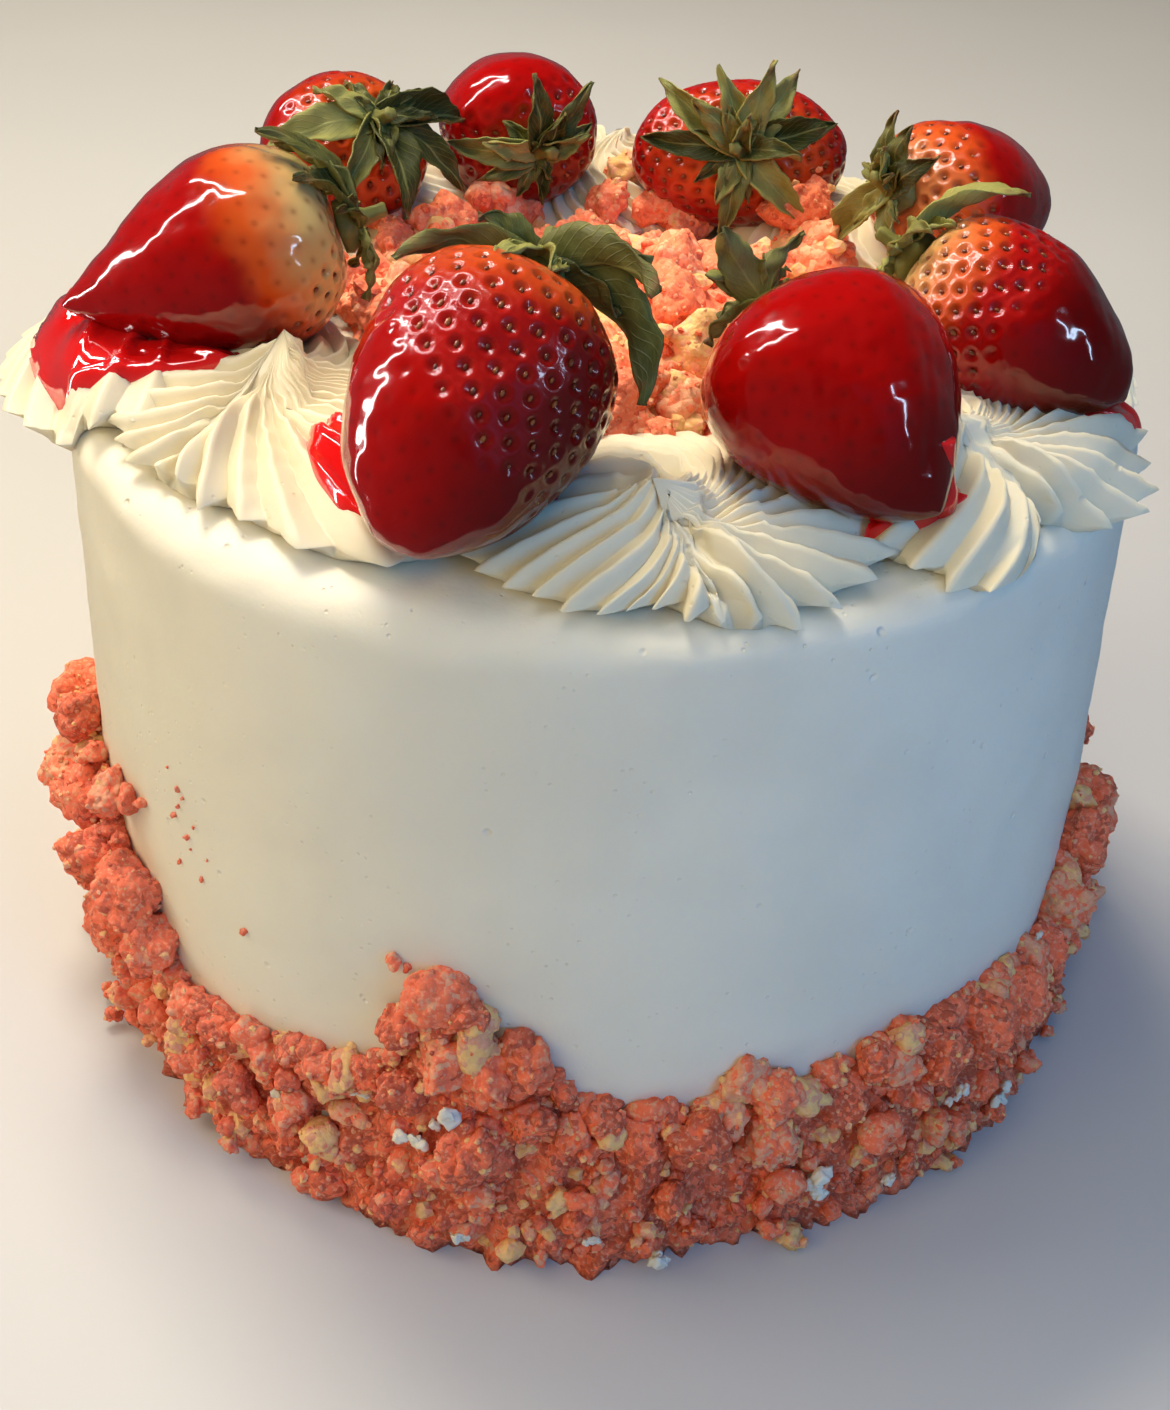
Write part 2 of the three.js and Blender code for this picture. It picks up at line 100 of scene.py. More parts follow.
# One row for each strawberry, as its node. at: its middle in mm, with z above the frosted top.
# heading: where its tip points in plan. dip: how far the tip points down. flat: thickness over width.
# fine: seen from near, so with a finer skin. taper: how slowly it narrows to its tip.
# leaves: turn about the berry's axis, length, lift from the shoulder, and paleness of each leaf.
# glaze: the direction in which its thick glaze lies, and how far that reaches (-1 all over, 1 nowhere).
# pale: the direction in which its unripe shoulder shows, its reach along the berry, and its paleness.
# ripe: the direction of its shaded side, painted darker as painted shade, and how dark, where it isn't
# USUAL_PAINTED_SHADE.
# Each berry is painted darker on its lower right, the side turned from the lights, as painted shade.
USUAL_PAINTED_SHADE = ((0.55, -0.25, -0.8), 0.6)
STRAWBERRIES = (
    dict(
        at=(-70, -18, 20), heading=193, dip=14, length=50, width=38, flat=0.92, fine=True,
        glaze=((-0.7, -0.3, 0.3), -0.55), pale=((0.6, 0.0, 0.8), 0.34, 0.85), taper=1.3,
        leaves=((20, 12, 15, 0.3), (52, 20, 8, 0.5), (84, 24, 8, 0.35), (118, 18, 12, 0.15),
                (250, 14, 25, 0.5), (295, 12, 20, 0.3)),
    ),
    dict(
        at=(-56, 43, 16), heading=132, dip=42, length=37, width=34, flat=0.9, fine=False,
        glaze=((-0.8, 0.3, 0.2), 0.25), pale=((0.2, -0.5, 0.8), 0.2, 0.4), taper=1.0,
        leaves=((348, 22, 25, 0.1), (312, 22, 30, 0.2), (265, 22, 35, 0.12), (222, 20, 25, 0.45),
                (172, 25, 15, 0.8), (95, 10, 20, 0.5), (40, 12, 20, 0.3)),
    ),
    dict(
        at=(-21, 59, 20), heading=108, dip=4, length=36, width=32, flat=0.92, fine=False,
        glaze=((-0.3, 0.2, 0.9), 0.3), pale=((0.2, -0.5, 0.8), 0.08, 0.2), taper=0.85,
        leaves=((58, 18, 40, 0.3), (97, 17, 40, 0.2), (135, 10, 30, 0.3), (178, 19, 20, 0.55),
                (205, 14, 25, 0.5), (272, 11, 35, 0.12), (15, 12, 35, 0.4)),
    ),
    dict(
        at=(26, 57, 16), heading=88, dip=24, length=36, width=44, flat=0.66, fine=False,
        glaze=((0.2, 0.9, 0.1), 0.35), pale=((0.0, -0.5, 0.9), 0.14, 0.5), taper=0.9,
        leaves=((15, 20, 30, 0.12), (50, 19, 35, 0.7), (80, 19, 50, 0.85), (105, 18, 50, 0.75),
                (152, 22, 30, 0.7), (182, 21, 30, 0.18), (265, 18, 30, 0.45), (312, 20, 25, 0.85)),
    ),
    dict(
        at=(70, 33, 18), heading=34, dip=15, length=39, width=33, flat=0.82, fine=False,
        glaze=((0.9, 0.3, 0.1), -0.1), pale=((-0.9, -0.3, 0.4), 0.26, 0.6), taper=0.9,
        leaves=((35, 16, 40, 0.12), (75, 15, 45, 0.35), (108, 15, 40, 0.5), (160, 10, 30, 0.6),
                (232, 19, 25, 0.75), (300, 14, 30, 0.6)),
    ),
    dict(
        at=(71, -24, 17), heading=-30, dip=20, length=44, width=34, flat=0.86, fine=True,
        glaze=((0.75, -0.3, -0.35), -0.15), pale=((-0.7, -0.5, 0.1), 0.27, 0.8), taper=1.0,
        ripe=((0.9, -0.3, -0.1), 0.85),
        leaves=((50, 15, 20, 0.6), (98, 24, 4, 0.9), (150, 14, 25, 0.7), (230, 12, 30, 0.8),
                (310, 12, 20, 0.7)),
    ),
    dict(
        at=(38.5, -60, 19), heading=-50, dip=24, length=43, width=41, flat=0.8, fine=True,
        glaze=((0.3, -0.5, 0.5), -1.0), pale=((0.0, 0.0, 1.0), 0.0, 0.0), taper=1.12,
        ripe=((0.6, -0.3, -0.7), 0.8),
        leaves=((48, 18, 50, 0.35), (115, 13, 45, 0.2), (180, 12, 30, 0.3), (250, 11, 25, 0.3),
                (330, 12, 30, 0.3)),
    ),
    dict(
        at=(-19.5, -73, 23), heading=-118, dip=36, length=47, width=38, flat=0.96, fine=True,
        glaze=((-0.75, -0.35, -0.55), 0.05), pale=((-0.5, 0.1, 0.8), 0.25, 0.5), taper=0.85,
        ripe=((0.85, -0.2, -0.5), 0.85),
        leaves=((32, 24, 8, 0.25), (85, 17, 6, 0.95), (128, 13, 14, 0.6), (164, 25, 25, 0.12, 1.25),
                (200, 28, 6, 0.08, 1.6), (280, 12, 30, 0.3)),
    ),
)

# Pools and drips of red glaze on the piping: middle in plan, half length, half width, turn, thickness.
POOLS = (
    ("glaze_pool_left", (-92, -22), 17, 9.5, -60, 3.6),
    ("glaze_pool_left_front", (-77, -33), 15, 5.0, 2, 2.6),
    ("glaze_pool_middle_left", (-38.5, -65), 15, 7.0, -66, 3.8),
    ("glaze_pool_middle_right", (-10.5, -70), 9, 5.0, 52, 3.0),
    ("glaze_pool_front_right", (50, -68), 6.0, 4.0, 10, 2.4),
    ("glaze_drop_front_right", (43.5, -72.5), 2.6, 1.3, 20, 1.4),
    ("glaze_pool_right", (85, -30), 9.0, 5.0, 10, 2.4),
    ("glaze_pool_back_right", (84, 41), 8.0, 5.0, 30, 1.8),
)

# Drops of glaze that hang from a berry. Name, upper end and lower end in mm, and radius in mm.
DRIPS = (
    ("glaze_drip_front_right", (51.5, -70, 152), (53, -70.5, 138), 2.5),
)

# Where the crumbs climb higher or lower on the side than usual: azimuth, rise, half spread.
SKIRT_WAVES = (
    (-157, 26, 11), (-131, -5, 7), (-103, 24, 6), (-94, 12, 6), (-72, 9, 4), (-59, 5, 6), (-47, 4, 8),
    (-29, -5, 4), (-19, 19, 10), (8, 6, 8), (33, 12, 9), (62, -4, 8), (88, 14, 7), (118, 8, 8),
    (143, 15, 8), (172, 9, 9),
)

# The large crumbs that stand out of the skirt: azimuth, height on the side, size across.
SKIRT_LUMPS = (
    (-148, 62, 9), (-150, 45, 14), (-143, 46, 16), (-139, 38, 13), (-147, 31, 14), (-133, 30, 9),
    (-128, 30, 8), (-122, 31, 8), (-113, 36, 8), (-110, 38, 7), (-106, 38, 9), (-106.5, 52, 9),
    (-102, 48, 13), (-98, 46, 12), (-94.5, 49, 11), (-99, 28, 16), (-94, 36, 11),
    (-90, 34, 9), (-84, 31, 9), (-78.5, 31, 13), (-70.5, 38, 12), (-71, 29, 11), (-64, 32, 10),
    (-60, 39, 9.5), (-52, 33, 12), (-46, 34, 13), (-40, 34, 14), (-36, 28, 12), (-31, 32, 10),
    (-27, 38, 13),
    (-170, 58, 13), (-162, 63, 12), (-166, 44, 15), (-156, 52, 16), (-75, 34, 9), (-57, 36, 9),
    (-22, 47, 14), (-17, 52, 12), (-12, 42, 14), (-5, 36, 11), (4, 38, 12), (12, 34, 13),
    (24, 42, 12), (33, 44, 13), (42, 38, 12), (56, 30, 11), (70, 33, 12), (82, 44, 13), (90, 46, 11),
    (99, 36, 12), (112, 40, 12), (122, 38, 11), (136, 46, 13), (146, 48, 12), (158, 38, 12),
    (171, 41, 13), (180, 36, 12),
)

# How many of these lumps, from the first, are in plain view.
SHOWN_LUMPS = 30

# How many crumbs of middle size the skirt has, and how many large ones the heap has.
SKIRT_CRUMBS = 490
HEAP_LUMPS = 108

# How far from the middle the crumbs of the heap lie.
HEAP_SPREAD = 0.060

# The tone of a golden crumb, where 0 is the darkest.
GOLDEN_TONE = 0.95

# Flecks of frosting that show between the crumbs of the skirt: azimuth, height, length, turn.
FLECKS = (
    (-132.7, 18, 5, 40), (-111, 33, 4, 0), (-101.5, 37, 7, 60), (-104.5, 31, 5, 0), (-99.9, 8, 5, 20),
    (-81.4, 4, 6, -10), (-88, 11, 4, 0), (-67.7, 17, 8, -20), (-66, 13, 5, 30), (-50.2, 22, 5, 20),
    (-42.7, 12, 6, 40), (-36, 30, 6, 30), (-33, 36, 4, 0), (-120, 24, 4, 30), (-58, 9, 4, 0),
    (10, 20, 6, 0), (60, 18, 6, 20), (104, 22, 6, 0), (150, 20, 6, 30), (-175, 30, 6, 0),
)

# Loose crumbs that stuck to the frosted side: azimuth, height, size.
SIDE_CRUMBS = (
    (-102.7, 61.4, 10.5), (-144.8, 64.5, 5.0), (-142.2, 66.5, 2.2), (-136, 81.7, 0.7), (-134.4, 78.5, 0.9),
    (-133.7, 77.2, 0.6), (-133.3, 69, 1.1), (-134.6, 74.5, 0.8), (-135.4, 71.8, 1.0), (-132.9, 66.6, 0.6),
    (-131.2, 61.6, 1.0), (-130.2, 67, 0.5), (-135, 61.4, 0.9), (-125.1, 56.2, 1.6), (-107.6, 65.1, 2.6),
    (-106.2, 64.0, 2.0), (-132.1, 72.5, 0.6), (20, 60, 2.2), (75, 58, 1.6), (140, 66, 1.8),
)

# The lights: azimuth, elevation, distance, size, power in red, green and blue, and what they do. A broad
# light would cover the glaze with its reflection, so it lights only the matt surfaces, as "diffuse", and
# the strips only make the highlights, as "glossy".
LIGHTS = (
    ("Left panel", 180, 30, 1.0, (0.5, 0.5), (4.2, 3.65, 2.8), "diffuse"),
    ("Warm panel", -140, 30, 1.0, (0.5, 0.5), (2.1, 1.6, 0.6), "diffuse"),
    ("Cool panel", -50, 24, 1.0, (0.5, 0.5), (0.3, 1.75, 4.2), "diffuse"),
    ("Key panel", 122, 62, 1.1, (0.35, 0.35), (14.4, 12.7, 9.8), "diffuse"),
    ("Front panel", -100, 36, 1.1, (0.5, 0.5), (1.7, 1.6, 1.4), "diffuse"),
    ("Top panel", 0, 88, 1.2, (1.0, 1.0), (3.1, 2.95, 2.8), "diffuse"),
    ("Left strip", 178, 32, 0.9, (0.05, 2.4), (15, 14.5, 14), "glossy"),
    ("Back strip", 150, 58, 1.0, (0.06, 0.9), (7, 6.8, 6.5), "glossy"),
    ("Right strip", -25, 28, 1.0, (0.04, 0.35), (0.7, 0.95, 1.3), "glossy"),
)

# ---- Settings that a user would change -----------------------------------------------------------


def length_setting(name, description, default):
    """A size in metres, shown in the user's length unit."""
    return bpy.props.FloatProperty(
        name=name, description=description, default=default, min=0.0, unit="LENGTH", subtype="DISTANCE"
    )


def colour_setting(name, description, default):
    return bpy.props.FloatVectorProperty(
        name=name, description=description, default=default, min=0.0, max=1.0, size=3, subtype="COLOR"
    )


class CakeSizes(bpy.types.PropertyGroup):
    """Sizes of the cake's pieces."""

    height: length_setting("Height", "Underside to frosted top", ROUND_BOX[1].z)
    base_radius: length_setting("Base radius", "Frosted side at the foot", ROUND_BOX[1].x)
    top_radius: length_setting("Top radius", "Frosted side at the rim", 0.099)
    rim_rounding: length_setting("Rim rounding", "Radius of the soft rim", 0.005)
    ridge_depth: length_setting("Ridge depth", "Depth of the ridges in the piping", 0.0029)
    tip_reach: length_setting("Tip reach", "How far a ridge's tip stands out", 0.0021)
    seed_spacing: length_setting("Seed spacing", "Between the seeds of a strawberry", 0.0041)
    seed_length: length_setting("Seed length", "Length of a strawberry's seed", 0.0013)
    leaf_width: length_setting("Leaf width", "Widest part of a strawberry leaf", 0.0085)
    heap_radius: length_setting("Heap radius", "Crumbs on the top, out to their edge", 0.049)
    heap_height: length_setting("Heap height", "Crumbs on the top, above the frosting", 0.009)
    skirt_thickness: length_setting("Skirt thickness", "Crumbs standing out at the foot", 0.0085)
    skirt_height: length_setting("Skirt height", "Usual height of the crumbs on the side", 0.036)


class CakeColours(bpy.types.PropertyGroup):
    """Colours of the cake's materials, linear."""

    frosting: colour_setting("Frosting", "Smooth cream frosting", (0.79, 0.745, 0.62))
    piping: colour_setting("Piping", "Piped cream frosting", (0.75, 0.68, 0.51))
    berry: colour_setting("Strawberry", "Ripe skin", (0.42, 0.005, 0.003))
    berry_deep: colour_setting("Deep strawberry", "Skin under thick glaze", (0.33, 0.0012, 0.0012))
    berry_pale: colour_setting("Pale shoulder", "Unripe skin by the leaves", (0.52, 0.42, 0.17))
    seed: colour_setting("Seed", "Seeds of a strawberry", (0.30, 0.085, 0.018))
    glaze: colour_setting("Glaze", "Clear red glaze", (0.80, 0.006, 0.006))
    leaf_dark: colour_setting("Dark leaf", "Upper side of a leaf", (0.022, 0.028, 0.004))
    leaf_pale: colour_setting("Pale leaf", "Underside and dry leaf", (0.34, 0.33, 0.095))
    crumb_coral: colour_setting("Coral crumb", "Most of the crumbs", (0.88, 0.172, 0.078))
    crumb_dark: colour_setting("Dark crumb", "Crumbs that browned", (0.49, 0.085, 0.038))
    crumb_tan: colour_setting("Tan crumb", "Plain part of the crumbs", (0.76, 0.33, 0.19))
    crumb_golden: colour_setting("Golden crumb", "Plain crumbs", (0.84, 0.50, 0.19))


# ---- Numbers and shapes --------------------------------------------------------------------------


def smoothstep(low, high, x):
    t = np.clip((x - low) / (high - low), 0.0, 1.0)
    return t * t * (3 - 2 * t)


def degrees_apart(a, b):
    """The signed turn from b to a, between -180 and 180."""
    return (a - b + 180) % 360 - 180


def bell(azimuth, middle, spread):
    return np.exp(-((degrees_apart(azimuth, middle) / spread) ** 2))


def wobble(azimuth, seed, turns):
    """The same smooth unevenness round the circle as the nodes have."""
    a = np.radians(azimuth)
    slow_share = 0.62
    slow = np.sin(turns * a + 1.7 * seed)
    quick = np.sin((2 * turns + 1) * a + 4.1 * seed)
    return slow_share * slow + (1 - slow_share) * quick


def waves(points, length, seed, octaves=3):
    """Smooth unevenness from about -1 to 1, in waves about length long."""
    rng = np.random.default_rng(seed)
    total = np.zeros(points.shape[:-1])
    sines = 6
    for octave in range(octaves):
        for _ in range(sines):
            direction = rng.normal(size=3)
            direction *= 2 * np.pi / (length * np.linalg.norm(direction))
            direction *= 2.0**octave * rng.uniform(0.7, 1.4)
            total += np.sin(points @ direction + rng.uniform(0, 2 * np.pi)) / 2.0**octave
    return total / math.sqrt(2.2 * sines)


def polar(azimuth, radius, z):
    a = np.radians(azimuth)
    return np.stack(np.broadcast_arrays(radius * np.cos(a), radius * np.sin(a), z), -1)


def signed_volume(vertices, faces):
    total = 0.0
    for face in faces:
        a, b = vertices[face[:, 0]], vertices[face[:, 1]]
        for k in range(2, face.shape[1]):
            c = vertices[face[:, k]]
            total += np.einsum("ij,ij->i", a, np.cross(b, c)).sum()
            b = c
    return total


def add_mesh(name, vertices, faces, materials=(), smooth=True, values=None):
    """A mesh object from vertices and arrays of equal-sided faces, its faces turned to point out."""
    vertices = np.asarray(vertices, float)
    faces = [np.asarray(face) for face in faces if len(face)]
    if signed_volume(vertices, faces) < 0:
        faces = [face[:, ::-1] for face in faces]
    mesh = bpy.data.meshes.new(name)
    mesh.from_pydata(vertices.tolist(), [], [row for face in faces for row in face.tolist()])
    mesh.polygons.foreach_set("use_smooth", [smooth] * len(mesh.polygons))
    for material in materials:
        mesh.materials.append(material)
    for key, value in (values or {}).items():
        attribute = mesh.attributes.new(key, "FLOAT", "POINT")
        attribute.data.foreach_set("value", np.asarray(value, np.float32))
    mesh.update()
    piece = bpy.data.objects.new(name, mesh)
    bpy.context.scene.collection.objects.link(piece)
    return piece


def closed_rings(rings, first, last):
    """Vertices and faces of a closed skin over rings (rows x columns x 3), with a point at each end."""
    rows, columns = rings.shape[:2]
    vertices = np.concatenate([rings.reshape(-1, 3), [first], [last]])
    row = (np.arange(rows - 1) * columns)[:, None]
    here = np.arange(columns)[None]
    after = (here + 1) % columns
    quads = np.stack([row + here, row + after, row + columns + after, row + columns + here], -1)
    start, end = rows * columns, rows * columns + 1
    edge = np.arange(columns)
    beside = (edge + 1) % columns
    foot = (rows - 1) * columns
    caps = np.concatenate([
        np.stack([np.full(columns, start), beside, edge], -1),
        np.stack([np.full(columns, end), foot + edge, foot + beside], -1),
    ])
    return vertices, [quads.reshape(-1, 4), caps]


def joined(parts):
    """The vertices, faces and values of several shapes as one."""
    vertices, faces, values, count = [], {}, {}, 0
    for part_vertices, part_faces, part_values in parts:
        vertices.append(part_vertices)
        if signed_volume(part_vertices, part_faces) < 0:
            part_faces = [face[:, ::-1] for face in part_faces]
        for face in part_faces:
            faces.setdefault(face.shape[1], []).append(face + count)
        for key, value in part_values.items():
            values.setdefault(key, []).append(np.broadcast_to(value, len(part_vertices)))
        count += len(part_vertices)
    faces = [np.concatenate(group) for group in faces.values()]
    return np.concatenate(vertices), faces, {key: np.concatenate(v) for key, v in values.items()}


def finish_piece(piece, slot, *nodes):
    """Says what the piece rides on and hides the parts that it stands for. slot is not used."""
    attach(piece, "root")
    if nodes:
        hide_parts(*nodes)
    return piece


def make_piece(name, shape, material, slot, *nodes):
    """A finished piece of a shape: its vertices, its faces and, where it has them, its values."""
    vertices, faces, *values = shape
    piece = add_mesh(name, vertices, faces, [material], values=values[0] if values else None)
    return finish_piece(piece, slot, *nodes)


def height_finder(pieces):
    """A function that gives the highest point of the pieces' surface above a spot in plan, or None."""
    vertices, faces = [], []
    for piece in pieces:
        count = len(vertices)
        vertices.extend(v.co.copy() for v in piece.data.vertices)
        faces.extend([count + i for i in face.vertices] for face in piece.data.polygons)
    tree = BVHTree.FromPolygons(vertices, faces)
    above, down = 0.3, Vector((0, 0, -1))

    def height(x, y):
        hit = tree.ray_cast(Vector((x, y, above)), down)[0]
        return None if hit is None else hit.z

    return height


# ---- Shader node groups and materials ------------------------------------------------------------


def made_once(store):
    """Makes the named material or tree with the function below, or finds it in its store."""

    def wrap(build):
        def get(name, *settings):
            return getattr(bpy.data, store).get(name) or build(name, *settings)

        return get

    return wrap


class Nodes:
    """Short ways to add and link the nodes of one tree."""

    def __init__(self, tree):
        self.tree = tree

    def add(self, kind, inputs=None, **settings):
        node = self.tree.nodes.new(kind)
        for key, value in settings.items():
            setattr(node, key, value)
        for key, value in (inputs or {}).items():
            self.feed(node.inputs[key], value)
        return node

    def feed(self, socket, value):
        if isinstance(value, bpy.types.NodeSocket):
            self.tree.links.new(value, socket)
        else:
            socket.default_value = value

    def maths(self, operation, a, b=0.0, c=0.0):
        node = self.add("ShaderNodeMath", operation=operation)
        for socket, value in zip(node.inputs, (a, b, c)):
            self.feed(socket, value)
        return node.outputs[0]

    def plus(self, a, b):
        return self.maths("ADD", a, b)

    def minus(self, a, b):
        return self.maths("SUBTRACT", a, b)

    def times(self, a, b):
        return self.maths("MULTIPLY", a, b)

    def band(self, value, low, high, to_low=0.0, to_high=1.0):
        node = self.add("ShaderNodeMapRange", interpolation_type="SMOOTHSTEP")
        for key, item in zip(("Value", "From Min", "From Max", "To Min", "To Max"),
                             (value, low, high, to_low, to_high)):
            self.feed(node.inputs[key], item)
        return node.outputs[0]

    def blend(self, factor, a, b):
        node = self.add("ShaderNodeMix", data_type="RGBA")
        colours = [socket for socket in node.inputs if socket.type == "RGBA"]
        self.feed(node.inputs["Factor"], factor)
        for socket, value in zip(colours, (a, b)):
            self.feed(socket, value if isinstance(value, bpy.types.NodeSocket) else (*value, 1.0))
        return node.outputs[2]

    def noise(self, vector, scale, detail=3.0, roughness=0.5):
        return self.add("ShaderNodeTexNoise", {
            "Vector": vector, "Scale": scale, "Detail": detail, "Roughness": roughness,
        }).outputs[0]

    def attribute(self, name):
        return self.add("ShaderNodeAttribute", attribute_name=name).outputs["Fac"]

    def place(self):
        return self.add("ShaderNodeTexCoord").outputs["Object"]

    def bump(self, height, strength, distance):
        return self.add("ShaderNodeBump", {
            "Height": height, "Strength": strength, "Distance": distance,
        }).outputs[0]


def node_group(name, outputs):
    """An empty shader node group: its nodes, the place that it reads and the node its values go to."""
    group = bpy.data.node_groups.new(name, "ShaderNodeTree")
    group.interface.new_socket("Vector", in_out="INPUT", socket_type="NodeSocketVector")
    for socket in outputs:
        group.interface.new_socket(socket, in_out="OUTPUT", socket_type="NodeSocketFloat")
    nodes = Nodes(group)
    return nodes, nodes.add("NodeGroupInput").outputs["Vector"], nodes.add("NodeGroupOutput")


@made_once("node_groups")
def cream_group(name):
    """The fine unevenness, pits and cloudy tone of whipped frosting."""
    nodes, vector, result = node_group(name, ("Height", "Tone"))
    soft = nodes.noise(vector, 160.0, 4.0, 0.55)
    fine = nodes.noise(vector, 900.0, 2.0, 0.6)
    cells = nodes.add("ShaderNodeTexVoronoi", {"Vector": vector, "Scale": 150.0})
    rare = nodes.band(nodes.noise(vector, 95.0, 1.0), 0.52, 0.62)
    pit = nodes.band(cells.outputs["Distance"], 0.04, 0.13, 1.0, 0.0)
    small_cells = nodes.add("ShaderNodeTexVoronoi", {"Vector": vector, "Scale": 420.0})
    small_pit = nodes.band(small_cells.outputs["Distance"], 0.05, 0.17, 0.5, 0.0)
    patchy = nodes.band(nodes.noise(vector, 60.0, 2.0), 0.48, 0.60)
    pits = nodes.plus(nodes.times(pit, rare), nodes.times(small_pit, patchy))
    height = nodes.plus(nodes.times(soft, 0.6), nodes.times(fine, 0.25))
    nodes.feed(result.inputs["Height"], nodes.minus(height, nodes.times(pits, 2.2)))
    nodes.feed(result.inputs["Tone"], nodes.noise(vector, 22.0, 3.0, 0.6))
    return nodes.tree


@made_once("node_groups")
def grain_group(name):
    """The coarse and fine grain of baked crumb."""
    nodes, vector, result = node_group(name, ("Height", "Speckle", "Tone", "Lot"))
    coarse = nodes.add("ShaderNodeTexVoronoi", {"Vector": vector, "Scale": 850.0, "Randomness": 1.0})
    lot = nodes.add("ShaderNodeSeparateXYZ", {"Vector": coarse.outputs["Color"]})
    nodes.feed(result.inputs["Lot"], lot.outputs[0])
    fine = nodes.noise(vector, 2200.0, 3.0, 0.6)
    round_grains = nodes.minus(1.0, coarse.outputs["Distance"])
    height = nodes.plus(nodes.times(round_grains, 0.7), nodes.times(fine, 0.4))
    nodes.feed(result.inputs["Height"], height)
    nodes.feed(result.inputs["Speckle"], nodes.band(nodes.noise(vector, 1300.0, 2.0), 0.50, 0.72))
    nodes.feed(result.inputs["Tone"], nodes.noise(vector, 190.0, 3.0, 0.6))
    return nodes.tree


def new_material(name, settings):
    """A material with an empty tree but for its output and its Principled BSDF, with these settings."""
    material = bpy.data.materials.new(name)
    material.use_nodes = True
    tree = material.node_tree
    tree.nodes.clear()
    nodes = Nodes(tree)
    shader = nodes.add("ShaderNodeBsdfPrincipled", settings)
    output = nodes.add("ShaderNodeOutputMaterial")
    tree.links.new(shader.outputs[0], output.inputs[0])
    return material, nodes, shader.inputs


def use_group(nodes, group):
    """What a shader node group gives at each place on the piece."""
    node = nodes.add("ShaderNodeGroup", node_tree=group)
    nodes.feed(node.inputs["Vector"], nodes.place())
    return node.outputs


@made_once("materials")
def frosting_material(name, colour, bump_depth, roughness):
    material, nodes, shader = new_material(name, {
        "Subsurface Weight": 0.22, "Subsurface Radius": (1.0, 0.7, 0.4), "Subsurface Scale": 0.004,
        "Specular IOR Level": 0.42,
    })
    cream = use_group(nodes, cream_group("Cream"))
    shade = tuple(0.93 * channel for channel in colour)
    tone = nodes.band(cream["Tone"], 0.35, 0.65)
    nodes.feed(shader["Base Color"], nodes.blend(tone, shade, colour))
    nodes.feed(shader["Roughness"], nodes.band(cream["Height"], 0.2, 0.7, roughness + 0.1, roughness))
    nodes.feed(shader["Normal"], nodes.bump(cream["Height"], 0.55, bump_depth))
    return material


def smooth_frosting(colours):
    """The frosting of the round, which is also on the flecks."""
    return frosting_material("Smooth frosting", colours.frosting, 0.00035, 0.46)


@made_once("materials")
def berry_material(name, colours):
    material, nodes, shader = new_material(name, {
        "Subsurface Weight": 0.12, "Subsurface Radius": (1.0, 0.12, 0.06), "Subsurface Scale": 0.003,
        "Specular IOR Level": 0.25, "Coat Weight": 0.85, "Coat Roughness": 0.035, "Coat IOR": 1.36,
    })
    place = nodes.place()
    pit = nodes.attribute("pit")
    glaze = nodes.attribute("glaze")
    pale = nodes.attribute("pale")
    mottle = nodes.noise(place, 140.0, 3.0, 0.6)
    skin = nodes.blend(nodes.band(mottle, 0.35, 0.7), colours.berry, colours.berry_deep)
    skin = nodes.blend(nodes.times(glaze, 0.75), skin, colours.berry_deep)
    darkest, orange, seed_and_pit_shade_red = (0.055, 0.0008, 0.0012), (0.60, 0.085, 0.012), (0.09, 0.004, 0.002)
    # Painted shade: the berry's shaded side is painted near black-red.
    skin = nodes.blend(nodes.attribute("ripe"), skin, darkest)
    pale_edge = nodes.plus(pale, nodes.times(nodes.minus(mottle, 0.5), 0.12))
    skin = nodes.blend(nodes.band(pale_edge, 0.05, 0.45), skin, orange)
    skin = nodes.blend(nodes.band(pale_edge, 0.38, 0.95), skin, colours.berry_pale)
    # Seeds under the glaze show as small dark spots; in a bare pit the deeper red round the seed is painted
    # shade in the hollow.
    seed_spot_and_pit_shade = nodes.times(pit, nodes.band(glaze, 0.0, 1.0, 0.55, 0.42))
    nodes.feed(shader["Base Color"], nodes.blend(seed_spot_and_pit_shade, skin, seed_and_pit_shade_red))
    fine = nodes.noise(place, 1400.0, 2.0)
    rough = nodes.times(nodes.minus(1.0, glaze), fine)
    nodes.feed(shader["Normal"], nodes.bump(rough, 0.12, 0.0004))
    nodes.feed(shader["Roughness"], nodes.band(glaze, 0.0, 1.0, 0.28, 0.12))
    return material


@made_once("materials")
def glaze_material(name, colours):
    material, nodes, shader = new_material(name, {
        "Subsurface Weight": 0.5, "Subsurface Radius": (1.0, 0.1, 0.08), "Subsurface Scale": 0.003,
        "Coat Weight": 1.0, "Coat Roughness": 0.03,
    })
    thin = tuple(min(1.0, 1.05 * channel + 0.02) for channel in colours.glaze)
    deep = tuple(0.75 * channel for channel in colours.glaze)
    nodes.feed(shader["Base Color"], nodes.blend(nodes.attribute("depth"), thin, deep))
    uneven = nodes.noise(nodes.place(), 300.0)
    nodes.feed(shader["Roughness"], nodes.band(uneven, 0.3, 0.7, 0.05, 0.12))
    return material


@made_once("materials")
def seed_material(name, colours):
    material, nodes, shader = new_material(name, {"Coat Weight": 0.6, "Coat Roughness": 0.06})
    brown = (0.09, 0.010, 0.004)
    nodes.feed(shader["Base Color"], nodes.blend(nodes.attribute("tone"), brown, colours.seed))
    fine = nodes.noise(nodes.place(), 2500.0, 2.0)
    nodes.feed(shader["Roughness"], nodes.band(fine, 0.3, 0.7, 0.3, 0.45))
    return material


